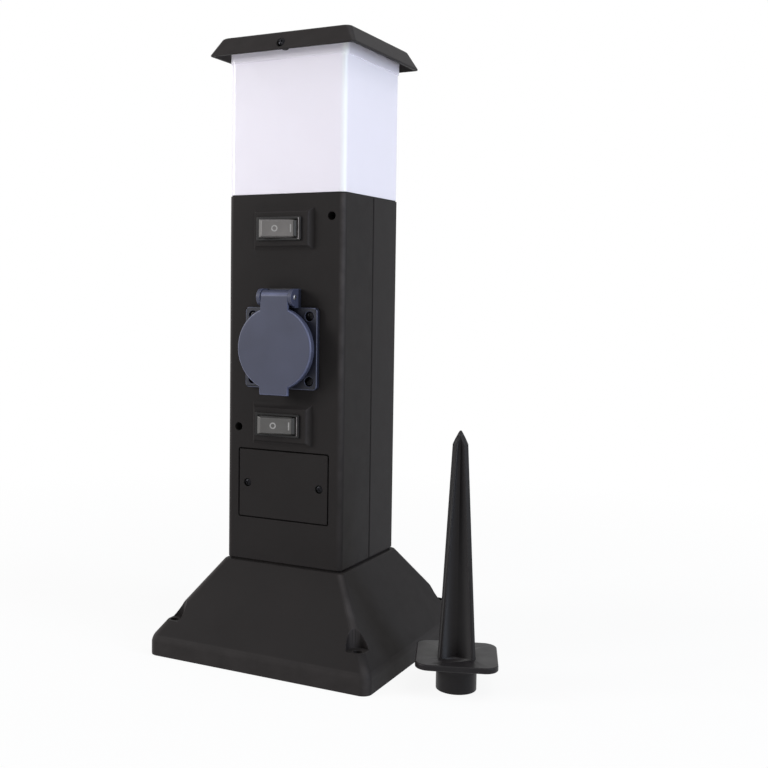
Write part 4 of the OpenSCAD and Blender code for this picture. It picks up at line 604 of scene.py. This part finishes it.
def softened(cad_node, rounds, corners=unworn, rims=LIGHT_WEAR_AND_SHEEN, finish=None, prepare=None):
    """Piece that stands for a CAD node, with picked outward edges rounded, and its points lightened: painted
    light and highlights where the corner function asks, rubbing and painted highlight on roundings.
    """
    form = merged(cad_node)
    if prepare is not None:
        prepare(form)
    rounded = form.faces.layers.int.new("rounded")
    for width, steps, pick in rounds:
        edges = [edge for edge in form.edges if is_outward(edge) and pick(edge)]
        if not edges:
            raise RuntimeError(f"{cad_node} has no edge for one of its roundings")
        made = bmesh.ops.bevel(
            form, geom=edges, offset=width, offset_type="OFFSET", segments=steps, profile=0.5,
            affect="EDGES", clamp_overlap=False, loop_slide=True, material=-1,
        )
        for face in made["faces"]:
            face[rounded] = 1
    put_in_order(form)
    # Each point keeps a share that lightens it: painted light and highlights from the corner function,
    # rubbing and painted highlight on roundings
    wear_and_sheen_layer = form.verts.layers.float.new(EDGE)
    form.normal_update()
    for vert in form.verts:
        within = all(face[rounded] for face in vert.link_faces)
        vert[wear_and_sheen_layer] = max(corners(vert), rims if within else NO_WEAR)
    piece = piece_from(form, f"{cad_node}_moulding")
    # Flats stay flat next to their rounded edges
    weights = piece.modifiers.new("Flat faces", "WEIGHTED_NORMAL")
    weights.keep_sharp = True
    return dressed(piece, SLOT_OF[cad_node], BODY_OF[cad_node], cad_node, finish=finish)


def dressed(piece, slot, body, *cad_nodes, finish=None):
    """Gives a piece its finish, named by the slot unless a finish is given, and its body, and hides the CAD
    nodes that it stands for.
    """
    piece.data.materials.clear()
    piece.data.materials.append(finish_of(finish or slot))
    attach(piece, body)
    if cad_nodes:
        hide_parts(*cad_nodes)
    return piece


def islands(cad_node):
    """Corner points of each separate solid of a CAD node, in metres and in the node's own order."""
    form = merged(cad_node)
    left = set(form.verts)
    found = []
    for first in form.verts:
        if first not in left:
            continue
        left.remove(first)
        group = [first]
        for vert in group:
            near = {edge.other_vert(vert) for edge in vert.link_edges} & left
            left -= near
            group.extend(near)
        found.append([vert.co.copy() for vert in group])
    form.free()
    return found


def screw_measures(points, head_height):
    """Seat, facing, head diameter, shank diameter and shank length of one screw."""
    axes = (X, Y, Z)
    low = Vector(min(point[axis] for point in points) for axis in axes)
    high = Vector(max(point[axis] for point in points) for axis in axes)
    extent = high - low
    along = max(axes, key=lambda axis: extent[axis])
    centre = (low + high) / 2

    def away(point):
        """Distance from the screw's axis."""
        offset = point - centre
        offset[along] = 0.0
        return offset.length

    head = max(points, key=away)
    facing = Vector((0.0, 0.0, 0.0))
    facing[along] = 1.0 if head[along] > centre[along] else -1.0
    end = centre - facing * extent[along] / 2
    tip = [point for point in points if abs(point[along] - end[along]) < MERGE_WITHIN]
    shank_radius = max(away(point) for point in tip)
    seat = centre + facing * (extent[along] / 2 - head_height)
    return seat, facing, 2 * away(head), 2 * shank_radius, extent[along] - head_height


def socket_ids(tree):
    """Identifier of each named input of a node group."""
    return {item.name: item.identifier for item in tree.interface.items_tree if item.in_out == "INPUT"}


def screw_tree():
    """Geometry nodes that put a domed screw with a cross recess on each point, facing along its attribute."""
    sides, rings, dome_share, overlap = 40, 20, 1.12, 0.2 * MM
    recess_reach, both_ways, twist_seed, quarter = 0.62, 2.0, 7, math.pi / 2
    random_low, random_high, random_out = 2, 3, 1
    tree = bpy.data.node_groups.new("Domed screws", "GeometryNodeTree")
    lengths = (
        "Head Diameter", "Head Height", "Shank Diameter", "Shank Length", "Recess Width", "Recess Depth",
    )
    tree.interface.new_socket(name="Seats", in_out="INPUT", socket_type="NodeSocketGeometry")
    for name in lengths:
        made = tree.interface.new_socket(name=name, in_out="INPUT", socket_type="NodeSocketFloat")
        made.subtype = "DISTANCE"
    tree.interface.new_socket(name="Finish", in_out="INPUT", socket_type="NodeSocketMaterial")
    tree.interface.new_socket(name="Screws", in_out="OUTPUT", socket_type="NodeSocketGeometry")
    given = node(tree, "NodeGroupInput").outputs

    def half(value):
        return maths(tree, "MULTIPLY", value, 0.5)

    def vector(**parts):
        return node(tree, "ShaderNodeCombineXYZ", parts).outputs[0]

    def changed(shape, **change):
        return node(tree, "GeometryNodeTransform", {"Geometry": shape, **change}).outputs[0]

    def drum(radius, depth):
        inputs = {"Vertices": sides, "Radius": radius, "Depth": depth}
        return node(tree, "GeometryNodeMeshCylinder", inputs).outputs["Mesh"]

    def combined(operation, shapes, inputs=None):
        made = node(tree, "GeometryNodeMeshBoolean", inputs, operation=operation, solver="EXACT")
        for shape in shapes:
            tree.links.new(shape, made.inputs["Mesh 2"])
        return made.outputs["Mesh"]

    head_height, slot_width = given["Head Height"], given["Recess Width"]
    radius = half(given["Head Diameter"])
    block = changed(drum(radius, head_height), Translation=vector(Z=half(head_height)))
    ball = node(tree, "GeometryNodeMeshUVSphere", {"Segments": sides, "Rings": rings, "Radius": 1.0})
    wide = maths(tree, "MULTIPLY", radius, dome_share)
    dome = changed(ball.outputs["Mesh"], Scale=vector(X=wide, Y=wide, Z=head_height))
    head = combined("INTERSECT", (block, dome))

    reach = maths(tree, "MULTIPLY", given["Head Diameter"], recess_reach)
    deep = maths(tree, "MULTIPLY", given["Recess Depth"], both_ways)
    slots = []
    for size in (vector(X=reach, Y=slot_width, Z=deep), vector(X=slot_width, Y=reach, Z=deep)):
        bar = node(tree, "GeometryNodeMeshCube", {"Size": size}).outputs["Mesh"]
        slots.append(changed(bar, Translation=vector(Z=head_height)))
    head = combined("DIFFERENCE", slots, {"Mesh 1": head})

    reach_down = maths(tree, "ADD", given["Shank Length"], overlap)
    sink = maths(tree, "SUBTRACT", overlap, half(reach_down))
    shank = changed(drum(half(given["Shank Diameter"]), reach_down), Translation=vector(Z=sink))
    screw = combined("UNION", (head, shank))

    facing = node(tree, "GeometryNodeInputNamedAttribute", {"Name": "facing"}, data_type="FLOAT_VECTOR")
    way = facing.outputs["Attribute"]
    turned = node(tree, "FunctionNodeAlignRotationToVector", {"Vector": way}, axis="Z")
    twist = node(tree, "FunctionNodeRandomValue", {"Seed": twist_seed}, data_type="FLOAT")
    twist.inputs[random_low].default_value = 0.0
    twist.inputs[random_high].default_value = quarter
    spin = node(tree, "FunctionNodeAxisAngleToRotation", {"Angle": twist.outputs[random_out]})
    spun = node(tree, "FunctionNodeRotateRotation", {
        "Rotation": turned.outputs["Rotation"], "Rotate By": spin.outputs["Rotation"],
    }, rotation_space="LOCAL")
    copies = node(tree, "GeometryNodeInstanceOnPoints", {
        "Points": given["Seats"], "Instance": screw, "Rotation": spun.outputs["Rotation"],
    })
    real = node(tree, "GeometryNodeRealizeInstances", {"Geometry": copies.outputs["Instances"]})
    finished = node(tree, "GeometryNodeSetMaterial", {
        "Geometry": real.outputs["Geometry"], "Material": given["Finish"],
    })
    node(tree, "NodeGroupOutput", {"Screws": finished.outputs["Geometry"]})
    return tree


def bridged(form, first, second):
    """Adds a band of faces between two closed loops of as many points."""
    for index, point in enumerate(first):
        form.faces.new((first[index - 1], point, second[index], second[index - 1]))


def outlined_mark(form, outline, hole, place, relief):
    """Adds a raised print to a shape: a flat outline, with a hole of as many points or none."""
    sunk, chamfer = -0.4, 0.35
    lows, tops = [], []
    for loop, inward in ((outline, -1.0), (hole, 1.0)):
        if loop is None:
            continue
        centre = sum(loop, Vector((0.0, 0.0))) / len(loop)
        slimmer = [point + (point - centre).normalized() * inward * relief * chamfer for point in loop]
        low, side, top = (
            [form.verts.new(place @ Vector((*point, relief * share))) for point in points]
            for points, share in ((loop, sunk), (loop, 1.0 - chamfer), (slimmer, 1.0))
        )
        bridged(form, low, side)
        bridged(form, side, top)
        lows.append(low)
        tops.append(top)
    for loops in (tops, lows):
        if hole is None:
            form.faces.new(*loops)
        else:
            bridged(form, *loops)


def circle(radius, count):
    """Points round a circle."""
    turn = 2 * math.pi / count
    return [Vector((math.cos(turn * step), math.sin(turn * step))) * radius for step in range(count)]


def stadium(width, height, count):
    """Points round an upright bar with round ends."""
    straight = (height - width) / 2
    half_step = Matrix.Rotation(math.pi / count, 2)
    points = [half_step @ point for point in circle(width / 2, count)]
    return [point + Vector((0.0, straight if point.y > 0 else -straight)) for point in points]


def rocker_face(cad_node):
    """Place on a rocker's largest flat that looks out of the post: x to the right, y up, z outwards."""
    form = merged(cad_node)
    face = max((face for face in form.faces if face.normal.y < 0), key=lambda face: face.calc_area())
    out = face.normal.copy()
    centre = face.calc_center_bounds()
    form.free()
    up = Vector((0.0, 0.0, 1.0))
    right = up.cross(out)
    place = Matrix((right, up, out)).transposed().to_4x4()
    place.translation = centre
    return place


class MakeFoot(bpy.types.Operator):
    """Foot with softened skirt, ledge and screw pockets"""

    bl_idname = "post.make_foot"
    bl_label = "Foot"

    def execute(self, context):
        sizes = context.scene.post_sizes
        ridge_highlight, skirt_painted_light = 0.6, 0.22
        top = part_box("foot_base")[1].z / MM

        def from_pocket(point):
            return math.hypot(abs(point.x) - POCKET_AT, abs(point.y) - POCKET_AT)

        def on_pocket(edge):
            point = middle(edge)
            return from_pocket(point) < POCKET_REACH and point.z > POCKET_SHELF - NEAR

        def on_fold(vert):
            point = vert.co / MM
            return abs(point.z - SKIRT_TOP) < NEAR and max(abs(point.x), abs(point.y)) > FOOT_INSIDE

        def is_firm(vert):
            """The point also belongs to the slope above."""
            others = [edge.other_vert(vert) for edge in vert.link_edges]
            return any(other.co.z > vert.co.z + NEAR * MM for other in others)

        def join_fold(form):
            """Joins the skirt's finer corner points to the slope's, so that no sliver lies between them."""
            fold = [vert for vert in form.verts if on_fold(vert)]
            firm = [vert for vert in fold if is_firm(vert)]
            loose = set(fold) - set(firm)
            joins = {vert: min(firm, key=lambda other: (other.co - vert.co).length) for vert in loose}
            bmesh.ops.weld_verts(form, targetmap=joins)

        # Painted highlight along the ridges, painted light on the front skirt, nothing in the pockets
        def tone_shift(vert):
            point = vert.co / MM
            if from_pocket(point) < POCKET_INSIDE and point.z > SKIRT_TOP:
                return NO_WEAR
            on_skirt = -point.y > FOOT_INSIDE and point.z < SKIRT_TOP and vert.normal.y < -SIDEWAYS_FROM
            return max(ridge_highlight * corner_highlight_share(vert), skirt_painted_light if on_skirt else NO_WEAR)

        softened("foot_base", [
            (sizes.fold, FOLD_STEPS, lambda edge: level(edge, Z, SKIRT_TOP) and outreach(edge) > FOOT_INSIDE),
            (sizes.ledge, ROUND_STEPS, lambda edge: level(edge, Z, top) and outreach(edge) > LEDGE_INSIDE),
            (sizes.hem, ROUND_STEPS, lambda edge: level(edge, Z, GROUND) and outreach(edge) > FOOT_INSIDE),
            (sizes.pocket, ROUND_STEPS, on_pocket),
        ], tone_shift, prepare=join_fold)
        return {"FINISHED"}


class MakePillar(bpy.types.Operator):
    """Front and rear shell of the pillar, with softened pads, openings, seams and rims"""

    bl_idname = "post.make_pillar"
    bl_label = "Pillar shells"

    def execute(self, context):
        sizes = context.scene.post_sizes
        low_highlight, high_highlight, pad_side_light, pad_depth, painted_light_share = 0.25, 1.0, 0.5, 0.6, 0.08
        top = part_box("pillar_front")[1].z / MM

        # Painted highlight on the upright corners, stronger towards the top
        def on_corner(vert):
            height = (vert.co.z / MM - GAP_TOP) / (top - GAP_TOP)
            return corner_highlight_share(vert) * (low_highlight + (high_highlight - low_highlight) * height)

        # Painted light on the right slope of each switch pad
        def on_front(vert):
            beside_pad = vert.co.y / MM < PAD_FACE + pad_depth and vert.normal.x > SIDEWAYS_FROM
            return pad_side_light if beside_pad and vert.co.x / MM > PAD_INSIDE_X else on_corner(vert)

        # Painted light: the rear shell is a little lighter all over
        def on_rear(vert):
            return max(on_corner(vert), painted_light_share)

        def on_pad(edge):
            point = middle(edge)
            for height in SWITCH_LEVELS.values():
                outside = abs(point.x) > PAD_INSIDE_X or abs(point.z - height) > PAD_INSIDE_Z
                close = abs(point.z - height) < 2 * PAD_INSIDE_Z
                if outside and close and min(end.y for end in ends(edge)) < PAD_FACE + NEAR:
                    return True
            return False

        def on_opening(edge):
            point = middle(edge)
            for height in SWITCH_LEVELS.values():
                if abs(point.x) < PAD_ROOM_X and abs(point.z - height) < PAD_ROOM_Z:
                    return False
            return level(edge, Y, PILLAR_FACE) and abs(point.z - SOCKET_LEVEL) > SOCKET_ROOM

        def on_seam(edge, seam):
            return level(edge, Y, seam) and outreach(edge) > SEAM_EDGE

        def on_rim(edge):
            return outreach(edge) > PILLAR_EDGE and (level(edge, Z, top) or level(edge, Z, GAP_TOP))

        softened("pillar_front", [
            (sizes.pad, ROUND_STEPS, on_pad),
            (sizes.seam, FOLD_STEPS, lambda edge: on_seam(edge, SEAM_FRONT)),
            (sizes.rim, ROUND_STEPS, lambda edge: on_opening(edge) or on_rim(edge)),
        ], on_front)
        softened("pillar_rear", [
            (sizes.seam, FOLD_STEPS, lambda edge: on_seam(edge, SEAM_REAR)),
            (sizes.rim, ROUND_STEPS, on_rim),
        ], on_rear)
        return {"FINISHED"}


class MakeAccessCover(bpy.types.Operator):
    """Flush cover of the terminal room"""

    bl_idname = "post.make_access_cover"
    bl_label = "Access cover"

    def execute(self, context):
        rim = context.scene.post_sizes.rim
        softened("access_cover", [(rim, ROUND_STEPS, lambda edge: level(edge, Y, PILLAR_FACE))])
        return {"FINISHED"}


class MakeSwitches(bpy.types.Operator):
    """Switch bezels and rockers, with an on and an off mark on each rocker"""

    bl_idname = "post.make_switches"
    bl_label = "Rocker switches"

    def execute(self, context):
        sizes = context.scene.post_sizes
        mark_points, bar_share, ring_share, rocker_length = 40, 0.33, -0.08, 24.8 * MM

        def part_border(form):
            """Parts the bezel's face at the opening's right corners, so that the rounding there is even."""
            front = [vert for vert in form.verts if abs(vert.co.y / MM - BEZEL_FACE) < NEAR]
            outside = [vert for vert in front if vert.co.x / MM > SUNK_EDGE + NEAR]
            for corner in [vert for vert in front if abs(vert.co.x / MM - SUNK_EDGE) < NEAR]:
                if not {edge.other_vert(corner) for edge in corner.link_edges} & set(outside):
                    nearest = min(outside, key=lambda vert: (vert.co - corner.co).length)
                    bmesh.ops.connect_vert_pair(form, verts=[corner, nearest])

        def on_inner_edge(edge):
            return level(edge, Y, BEZEL_FACE) and level(edge, X, SUNK_EDGE)

        def on_bezel(edge):
            touching = any(abs(end.x - SUNK_EDGE) < sizes.bezel / MM + NEAR for end in ends(edge))
            return level(edge, Y, BEZEL_FACE) and not touching

        # Painted highlight: a bright line on the bezel's inner edge at the rocker's sunk end
        def sunk_edge_highlight(vert):
            across = vert.co.x - SUNK_EDGE * MM
            deep = vert.co.y - BEZEL_FACE * MM
            return float(all(MERGE_WITHIN < way < sizes.bezel - MERGE_WITHIN for way in (across, deep)))

        for name, height in SWITCH_LEVELS.items():
            softened(f"{name}_switch_body", [
                (sizes.bezel, FOLD_STEPS, on_inner_edge), (sizes.rim, ROUND_STEPS, on_bezel),
            ], sunk_edge_highlight, rims=NO_WEAR, finish="bezel_plastic", prepare=part_border)
            softened(f"{name}_rocker", [
                (sizes.rocker, ROUND_STEPS, lambda edge: abs(middle(edge).z - height) < ROCKER_HALF_WIDTH),
            ], finish=f"{name}_rocker_plastic")
            place = rocker_face(f"{name}_rocker")
            form = bmesh.new()
            ring = place @ Matrix.Translation((ring_share * rocker_length, 0.0, 0.0))
            bar = place @ Matrix.Translation((bar_share * rocker_length, 0.0, 0.0))
            hollow = circle(sizes.ring_radius - sizes.mark_stroke, mark_points)
            outlined_mark(form, circle(sizes.ring_radius, mark_points), hollow, ring, sizes.mark_relief)
            line = stadium(sizes.mark_stroke, sizes.bar_height, mark_points)
            outlined_mark(form, line, None, bar, sizes.mark_relief)
            bmesh.ops.recalc_face_normals(form, faces=form.faces)
            marks = piece_from(form, f"{name}_rocker_marks")
            dressed(marks, "rocker_plastic", f"{name}_key", finish="rocker_print")
        return {"FINISHED"}


class MakeSocket(bpy.types.Operator):
    """Socket moulding with its flange, collar and hinge ears, and the hinge pin"""

    bl_idname = "post.make_socket"
    bl_label = "Socket"

    def execute(self, context):
        sizes = context.scene.post_sizes

        def on_border(edge):
            point = middle(edge)
            far = max(abs(point.x), abs(point.z - SOCKET_LEVEL)) > FLANGE_INSIDE
            return far and point.z < EAR_LOW and level(edge, Y, FLANGE_FACE)

        def on_detail(edge):
            point = middle(edge)
            on_ear = point.z > EAR_LOW and point.y < FLANGE_FACE - NEAR
            recess = level(edge, Y, FLANGE_FACE) and point.z < EAR_LOW
            return on_ear or recess or level(edge, Y, COLLAR_FACE)

        # Painted highlights on all roundings of the socket moulding
        softened("socket_body", [
            (sizes.flange, ROUND_STEPS, on_border), (sizes.rim, ROUND_STEPS, on_detail),
        ], rims=FULL_HIGHLIGHT, finish="socket_plastic")
        softened("hinge_pin", [(sizes.hinge, ROUND_STEPS, lambda edge: True)])
        return {"FINISHED"}


class MakeLid(bpy.types.Operator):
    """Sprung lid of the socket"""

    bl_idname = "post.make_lid"
    bl_label = "Socket lid"

    def execute(self, context):
        sizes = context.scene.post_sizes

        def on_tab(edge):
            return level(edge, Y, LID_FRONT) and middle(edge).z < EAR_LOW

        # Painted highlight: a bright crescent on the rounded edge of the lid's disc
        def disc_edge_highlight(vert):
            point = vert.co / MM
            outside = math.hypot(point.x, point.z - SOCKET_LEVEL) > LID_FLAT
            at_edge = LID_EDGE_FROM < point.y - LID_FRONT < LID_EDGE_TO
            return FULL_HIGHLIGHT if outside and at_edge else NO_WEAR

        softened("socket_lid", [
            (sizes.lid, FOLD_STEPS, on_tab),
            (sizes.hinge, ROUND_STEPS, lambda edge: middle(edge).y < LID_BACK),
        ], disc_edge_highlight, rims=FULL_HIGHLIGHT)
        return {"FINISHED"}


class MakeSpring(bpy.types.Operator):
    """Lid spring, whose coil sits between the post and the lid, copied from the CAD part as it stands"""

    bl_idname = "post.make_spring"
    bl_label = "Lid spring"

    def execute(self, context):
        cad_node, wire = "lid_spring", 0.7 * MM
        piece = piece_from(merged(cad_node), f"{cad_node}_wire")
        piece.data.materials.append(finish_of(SLOT_OF[cad_node]))
        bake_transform(piece)
        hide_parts(cad_node)
        return {"FINISHED"}


class MakeLantern(bpy.types.Operator):
    """Opal diffuser and roof cap"""

    bl_idname = "post.make_lantern"
    bl_label = "Lantern"

    def execute(self, context):
        sizes = context.scene.post_sizes
        roof_corner_highlight, painted_light_share = 0.5, 0.18
        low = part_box("diffuser")[0].z / MM

        def on_diffuser(edge):
            return outreach(edge) > DIFFUSER_INSIDE and level(edge, Z, low)

        def on_eave(edge):
            point = middle(edge)
            at_eave = level(edge, Z, EAVE_LOW) or level(edge, Z, EAVE_HIGH)
            if at_eave and outreach(edge) > EAVE_INSIDE:
                return True
            in_recess = math.hypot(point.x, point.z - ROOF_RECESS_LEVEL) < ROOF_RECESS_REACH
            return in_recess and abs(point.y) > ROOF_RECESS_FROM

        # Painted highlight on the roof's corners, and painted light on all of the roof above the eave
        def on_roof(vert):
            above_eave = vert.co.z / MM > EAVE_LOW + NEAR
            return max(roof_corner_highlight * corner_highlight_share(vert), painted_light_share if above_eave else NO_WEAR)

        # Painted highlight on the diffuser's right-hand corners
        def painted_corner_highlight(vert):
            return corner_highlight_share(vert) if vert.co.x > 0 else NO_WEAR

        softened("diffuser", [(sizes.rim, ROUND_STEPS, on_diffuser)], painted_corner_highlight)
        softened("roof_cap", [
            (sizes.shoulder, FOLD_STEPS, lambda edge: level(edge, Z, SHOULDER)),
            (sizes.rim, ROUND_STEPS, on_eave),
        ], on_roof)
        return {"FINISHED"}


class MakeScrews(bpy.types.Operator):
    """Screws with domed heads and cross recesses, set where the part has them"""

    bl_idname = "post.make_screws"
    bl_label = "Screws"

    def execute(self, context):
        sizes = context.scene.post_sizes
        tree = screw_tree()
        inputs = socket_ids(tree)
        for cad_node, head_height in SCREW_HEADS.items():
            screws = [screw_measures(points, head_height * MM) for points in islands(cad_node)]
            seats, facings, heads, shanks, lengths = zip(*screws)
            points = bpy.data.meshes.new(f"{cad_node}_seats")
            points.from_pydata(seats, [], [])
            facing = points.attributes.new("facing", "FLOAT_VECTOR", "POINT")
            facing.data.foreach_set("vector", [part for way in facings for part in way])
            holder = placed(f"{cad_node}_seats", points)
            maker = holder.modifiers.new("Screws", "NODES")
            maker.node_group = tree
            values = {
                "Head Diameter": heads[0], "Head Height": head_height * MM, "Shank Diameter": shanks[0],
                "Shank Length": lengths[0], "Recess Width": sizes.recess_width,
                "Recess Depth": sizes.recess_depth, "Finish": finish_of(SCREW_FINISH),
            }
            for name, value in values.items():
                maker[inputs[name]] = value
            made = holder.evaluated_get(context.evaluated_depsgraph_get())
            mesh = bpy.data.meshes.new_from_object(made)
            bpy.data.objects.remove(holder)
            if not mesh.polygons:
                raise RuntimeError(f"{cad_node} came out empty")
            piece = smooth_piece(f"{cad_node}_set", mesh)
            dressed(piece, SLOT_OF[cad_node], BODY_OF[cad_node], cad_node, finish=SCREW_FINISH)
        return {"FINISHED"}


class MakeSpike(bpy.types.Operator):
    """Ground spike with softened plate and blades"""

    bl_idname = "post.make_spike"
    bl_label = "Ground spike"

    def execute(self, context):
        sizes = context.scene.post_sizes
        low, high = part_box("ground_spike")
        centre = (low + high) / 2 / MM

        def on_plate(edge):
            point = middle(edge)
            outside = math.hypot(point.x - centre.x, point.y - centre.y) > PLATE_INSIDE
            return outside and all(PLATE_LOW < end.z < PLATE_HIGH for end in ends(edge))

        def on_blade(edge):
            first, second = ends(edge)
            return abs(first.z - second.z) > BLADE_RUN

        softened("ground_spike", [
            (sizes.plate, FOLD_STEPS, on_plate),
            (sizes.blade, ROUND_STEPS, on_blade),
            (sizes.hem, ROUND_STEPS, lambda edge: level(edge, Z, GROUND)),
        ], finish="spike_plastic")
        return {"FINISHED"}


class FinishInside(bpy.types.Operator):
    """Finishes of all pieces that keep their CAD shape: seals, contacts, wires, lamp and terminals"""

    bl_idname = "post.finish_inside"
    bl_label = "Inner pieces"

    def execute(self, context):
        for name, cad_object in frame["nodes"].items():
            if cad_object.hide_render:
                continue
            if not cad_object.material_slots:
                raise RuntimeError(f"{name} has no material slot")
            for place in cad_object.material_slots:
                place.material = finish_of(SLOT_OF[name])
        return {"FINISHED"}


class MakeStage(bpy.types.Operator):
    """White floor and room, soft lights, and the camera"""

    bl_idname = "post.make_stage"
    bl_label = "Stage"

    def execute(self, context):
        stage = context.scene.post_stage
        self.make_floor(stage)
        self.make_room(context, stage)
        self.make_lights(stage)
        self.make_camera(context, stage)
        context.scene.view_settings.view_transform = "Standard"
        return {"FINISHED"}

    @staticmethod
    def seen(tree):
        """1 for rays from the camera, from gloss and through glass."""
        rays = node(tree, "ShaderNodeLightPath").outputs
        shown = maths(tree, "MAXIMUM", rays["Is Camera Ray"], rays["Is Glossy Ray"])
        return maths(tree, "MAXIMUM", shown, rays["Is Transmission Ray"])

    def make_floor(self, stage):
        """Floor that looks white and keeps the post's shadow."""
        half, near_share, fade_from, fade_to = 4.0, 0.9, 0.25, 0.7
        mesh = bpy.data.meshes.new("floor")
        corners = [(-half, -half, 0.0), (half, -half, 0.0), (half, half, 0.0), (-half, half, 0.0)]
        mesh.from_pydata(corners, [], [range(len(corners))])
        floor = placed("floor", mesh)
        material = bpy.data.materials.new("floor_white")
        material.use_nodes = True
        tree = material.node_tree
        tree.nodes.clear()
        place = object_place(tree)
        far = node(tree, "ShaderNodeVectorMath", {0: place}, operation="LENGTH").outputs["Value"]
        share = node(tree, "ShaderNodeMapRange", {
            "Value": far, "From Min": fade_from, "From Max": fade_to, "To Min": near_share, "To Max": 1.0,
        }).outputs["Result"]
        tint = shade(stage.floor, 1.0)
        lit = node(tree, "ShaderNodeBsdfDiffuse", {"Color": tint}).outputs[0]
        white = node(tree, "ShaderNodeEmission", {"Color": tint, "Strength": 1.0}).outputs[0]
        factor = maths(tree, "MULTIPLY", self.seen(tree), share)
        mixed = node(tree, "ShaderNodeMixShader", {0: factor, 1: lit, 2: white}).outputs[0]
        node(tree, "ShaderNodeOutputMaterial", {"Surface": mixed})
        mesh.materials.append(material)

    def make_room(self, context, stage):
        """World that is white where it shows and gives an even light."""
        world = bpy.data.worlds.new("white_room")
        context.scene.world = world
        world.use_nodes = True
        tree = world.node_tree
        tree.nodes.clear()
        tint = shade(stage.floor, 1.0)
        dim = node(tree, "ShaderNodeBackground", {"Color": tint, "Strength": stage.room}).outputs[0]
        white = node(tree, "ShaderNodeBackground", {"Color": tint, "Strength": 1.0}).outputs[0]
        mixed = node(tree, "ShaderNodeMixShader", {0: self.seen(tree), 1: dim, 2: white}).outputs[0]
        node(tree, "ShaderNodeOutputWorld", {"Surface": mixed})

    def make_lights(self, stage):
        """Large soft lights, all aimed at the middle of the post."""
        target = Vector((0.0, 0.0, 0.2))
        white = (1.0, 1.0, 1.0)
        lights = {
            "key": (stage.key, white, (-1.45, -1.22, 0.8), (0.8, 0.8)),
            "fill": (stage.fill, stage.cool, (1.77, -0.1, 0.7), (0.5, 1.3)),
            "top": (stage.top, white, (0.8, -0.4, 1.9), (1.2, 1.2)),
        }
        for name, (power, tint, place, extent) in lights.items():
            lamp = bpy.data.lights.new(f"{name}_light", "AREA")
            lamp.energy = power
            lamp.color = tint
            lamp.shape = "RECTANGLE"
            lamp.size, lamp.size_y = extent
            holder = placed(f"{name}_light", lamp)
            holder.location = place
            holder.rotation_euler = (target - Vector(place)).to_track_quat("-Z", "Y").to_euler()

    def make_camera(self, context, stage):
        """Camera where the photographer stood, with the picture's own framing."""
        azimuth, distance, height = math.radians(27.417), 0.721635, 0.229846
        yaw, pitch, roll = math.radians(1.167), math.radians(3.519), math.radians(0.545)
        shift_right, shift_up, sensor = 0.12086, -0.03152, 36.0
        heading = azimuth + yaw
        eye = Vector((distance * math.sin(azimuth), -distance * math.cos(azimuth), height))
        level_way = Vector((-math.sin(heading), math.cos(heading), 0.0)) * math.cos(pitch)
        ahead = level_way + Vector((0.0, 0.0, -math.sin(pitch)))
        flat_right = Vector((math.cos(heading), math.sin(heading), 0.0))
        flat_up = flat_right.cross(ahead)
        right = flat_right * math.cos(roll) + flat_up * math.sin(roll)
        up = flat_up * math.cos(roll) - flat_right * math.sin(roll)
        lens = bpy.data.cameras.new("camera")
        lens.sensor_width = sensor
        lens.lens = stage.lens
        lens.shift_x = shift_right
        lens.shift_y = shift_up
        camera = placed("camera", lens)
        camera.matrix_world = Matrix.Translation(eye) @ Matrix((right, up, -ahead)).transposed().to_4x4()
        context.scene.camera = camera


OPERATORS = (
    MakeFoot, MakePillar, MakeAccessCover, MakeSwitches, MakeSocket, MakeLid, MakeSpring, MakeLantern,
    MakeScrews, MakeSpike, FinishInside, MakeStage,
)


class PostPanel(bpy.types.Panel):
    """Sidebar panel with the post's pieces, colours and sizes"""

    bl_idname = "VIEW3D_PT_garden_socket_post"
    bl_label = "Garden socket post"
    bl_space_type = "VIEW_3D"
    bl_region_type = "UI"
    bl_category = "Post"

    def draw(self, context):
        for operator in OPERATORS:
            self.layout.operator(operator.bl_idname)
        scene = context.scene
        for group in (scene.post_colours, scene.post_sizes, scene.post_stage):
            box = self.layout.box()
            for key in group.__annotations__:
                box.prop(group, key)


GROUPS = {"post_colours": PostColours, "post_sizes": PostSizes, "post_stage": PostStage}
CLASSES = (*GROUPS.values(), *OPERATORS, PostPanel)


def register():
    for kind in CLASSES:
        bpy.utils.register_class(kind)
    for name, group in GROUPS.items():
        setattr(bpy.types.Scene, name, bpy.props.PointerProperty(type=group))


def unregister():
    for name in GROUPS:
        delattr(bpy.types.Scene, name)
    for kind in reversed(CLASSES):
        bpy.utils.unregister_class(kind)


def main():
    """Makes every piece and the stage."""
    register()
    for operator in OPERATORS:
        category, name = operator.bl_idname.split(".")
        getattr(getattr(bpy.ops, category), name)()


if __name__ == "__main__":
    main()
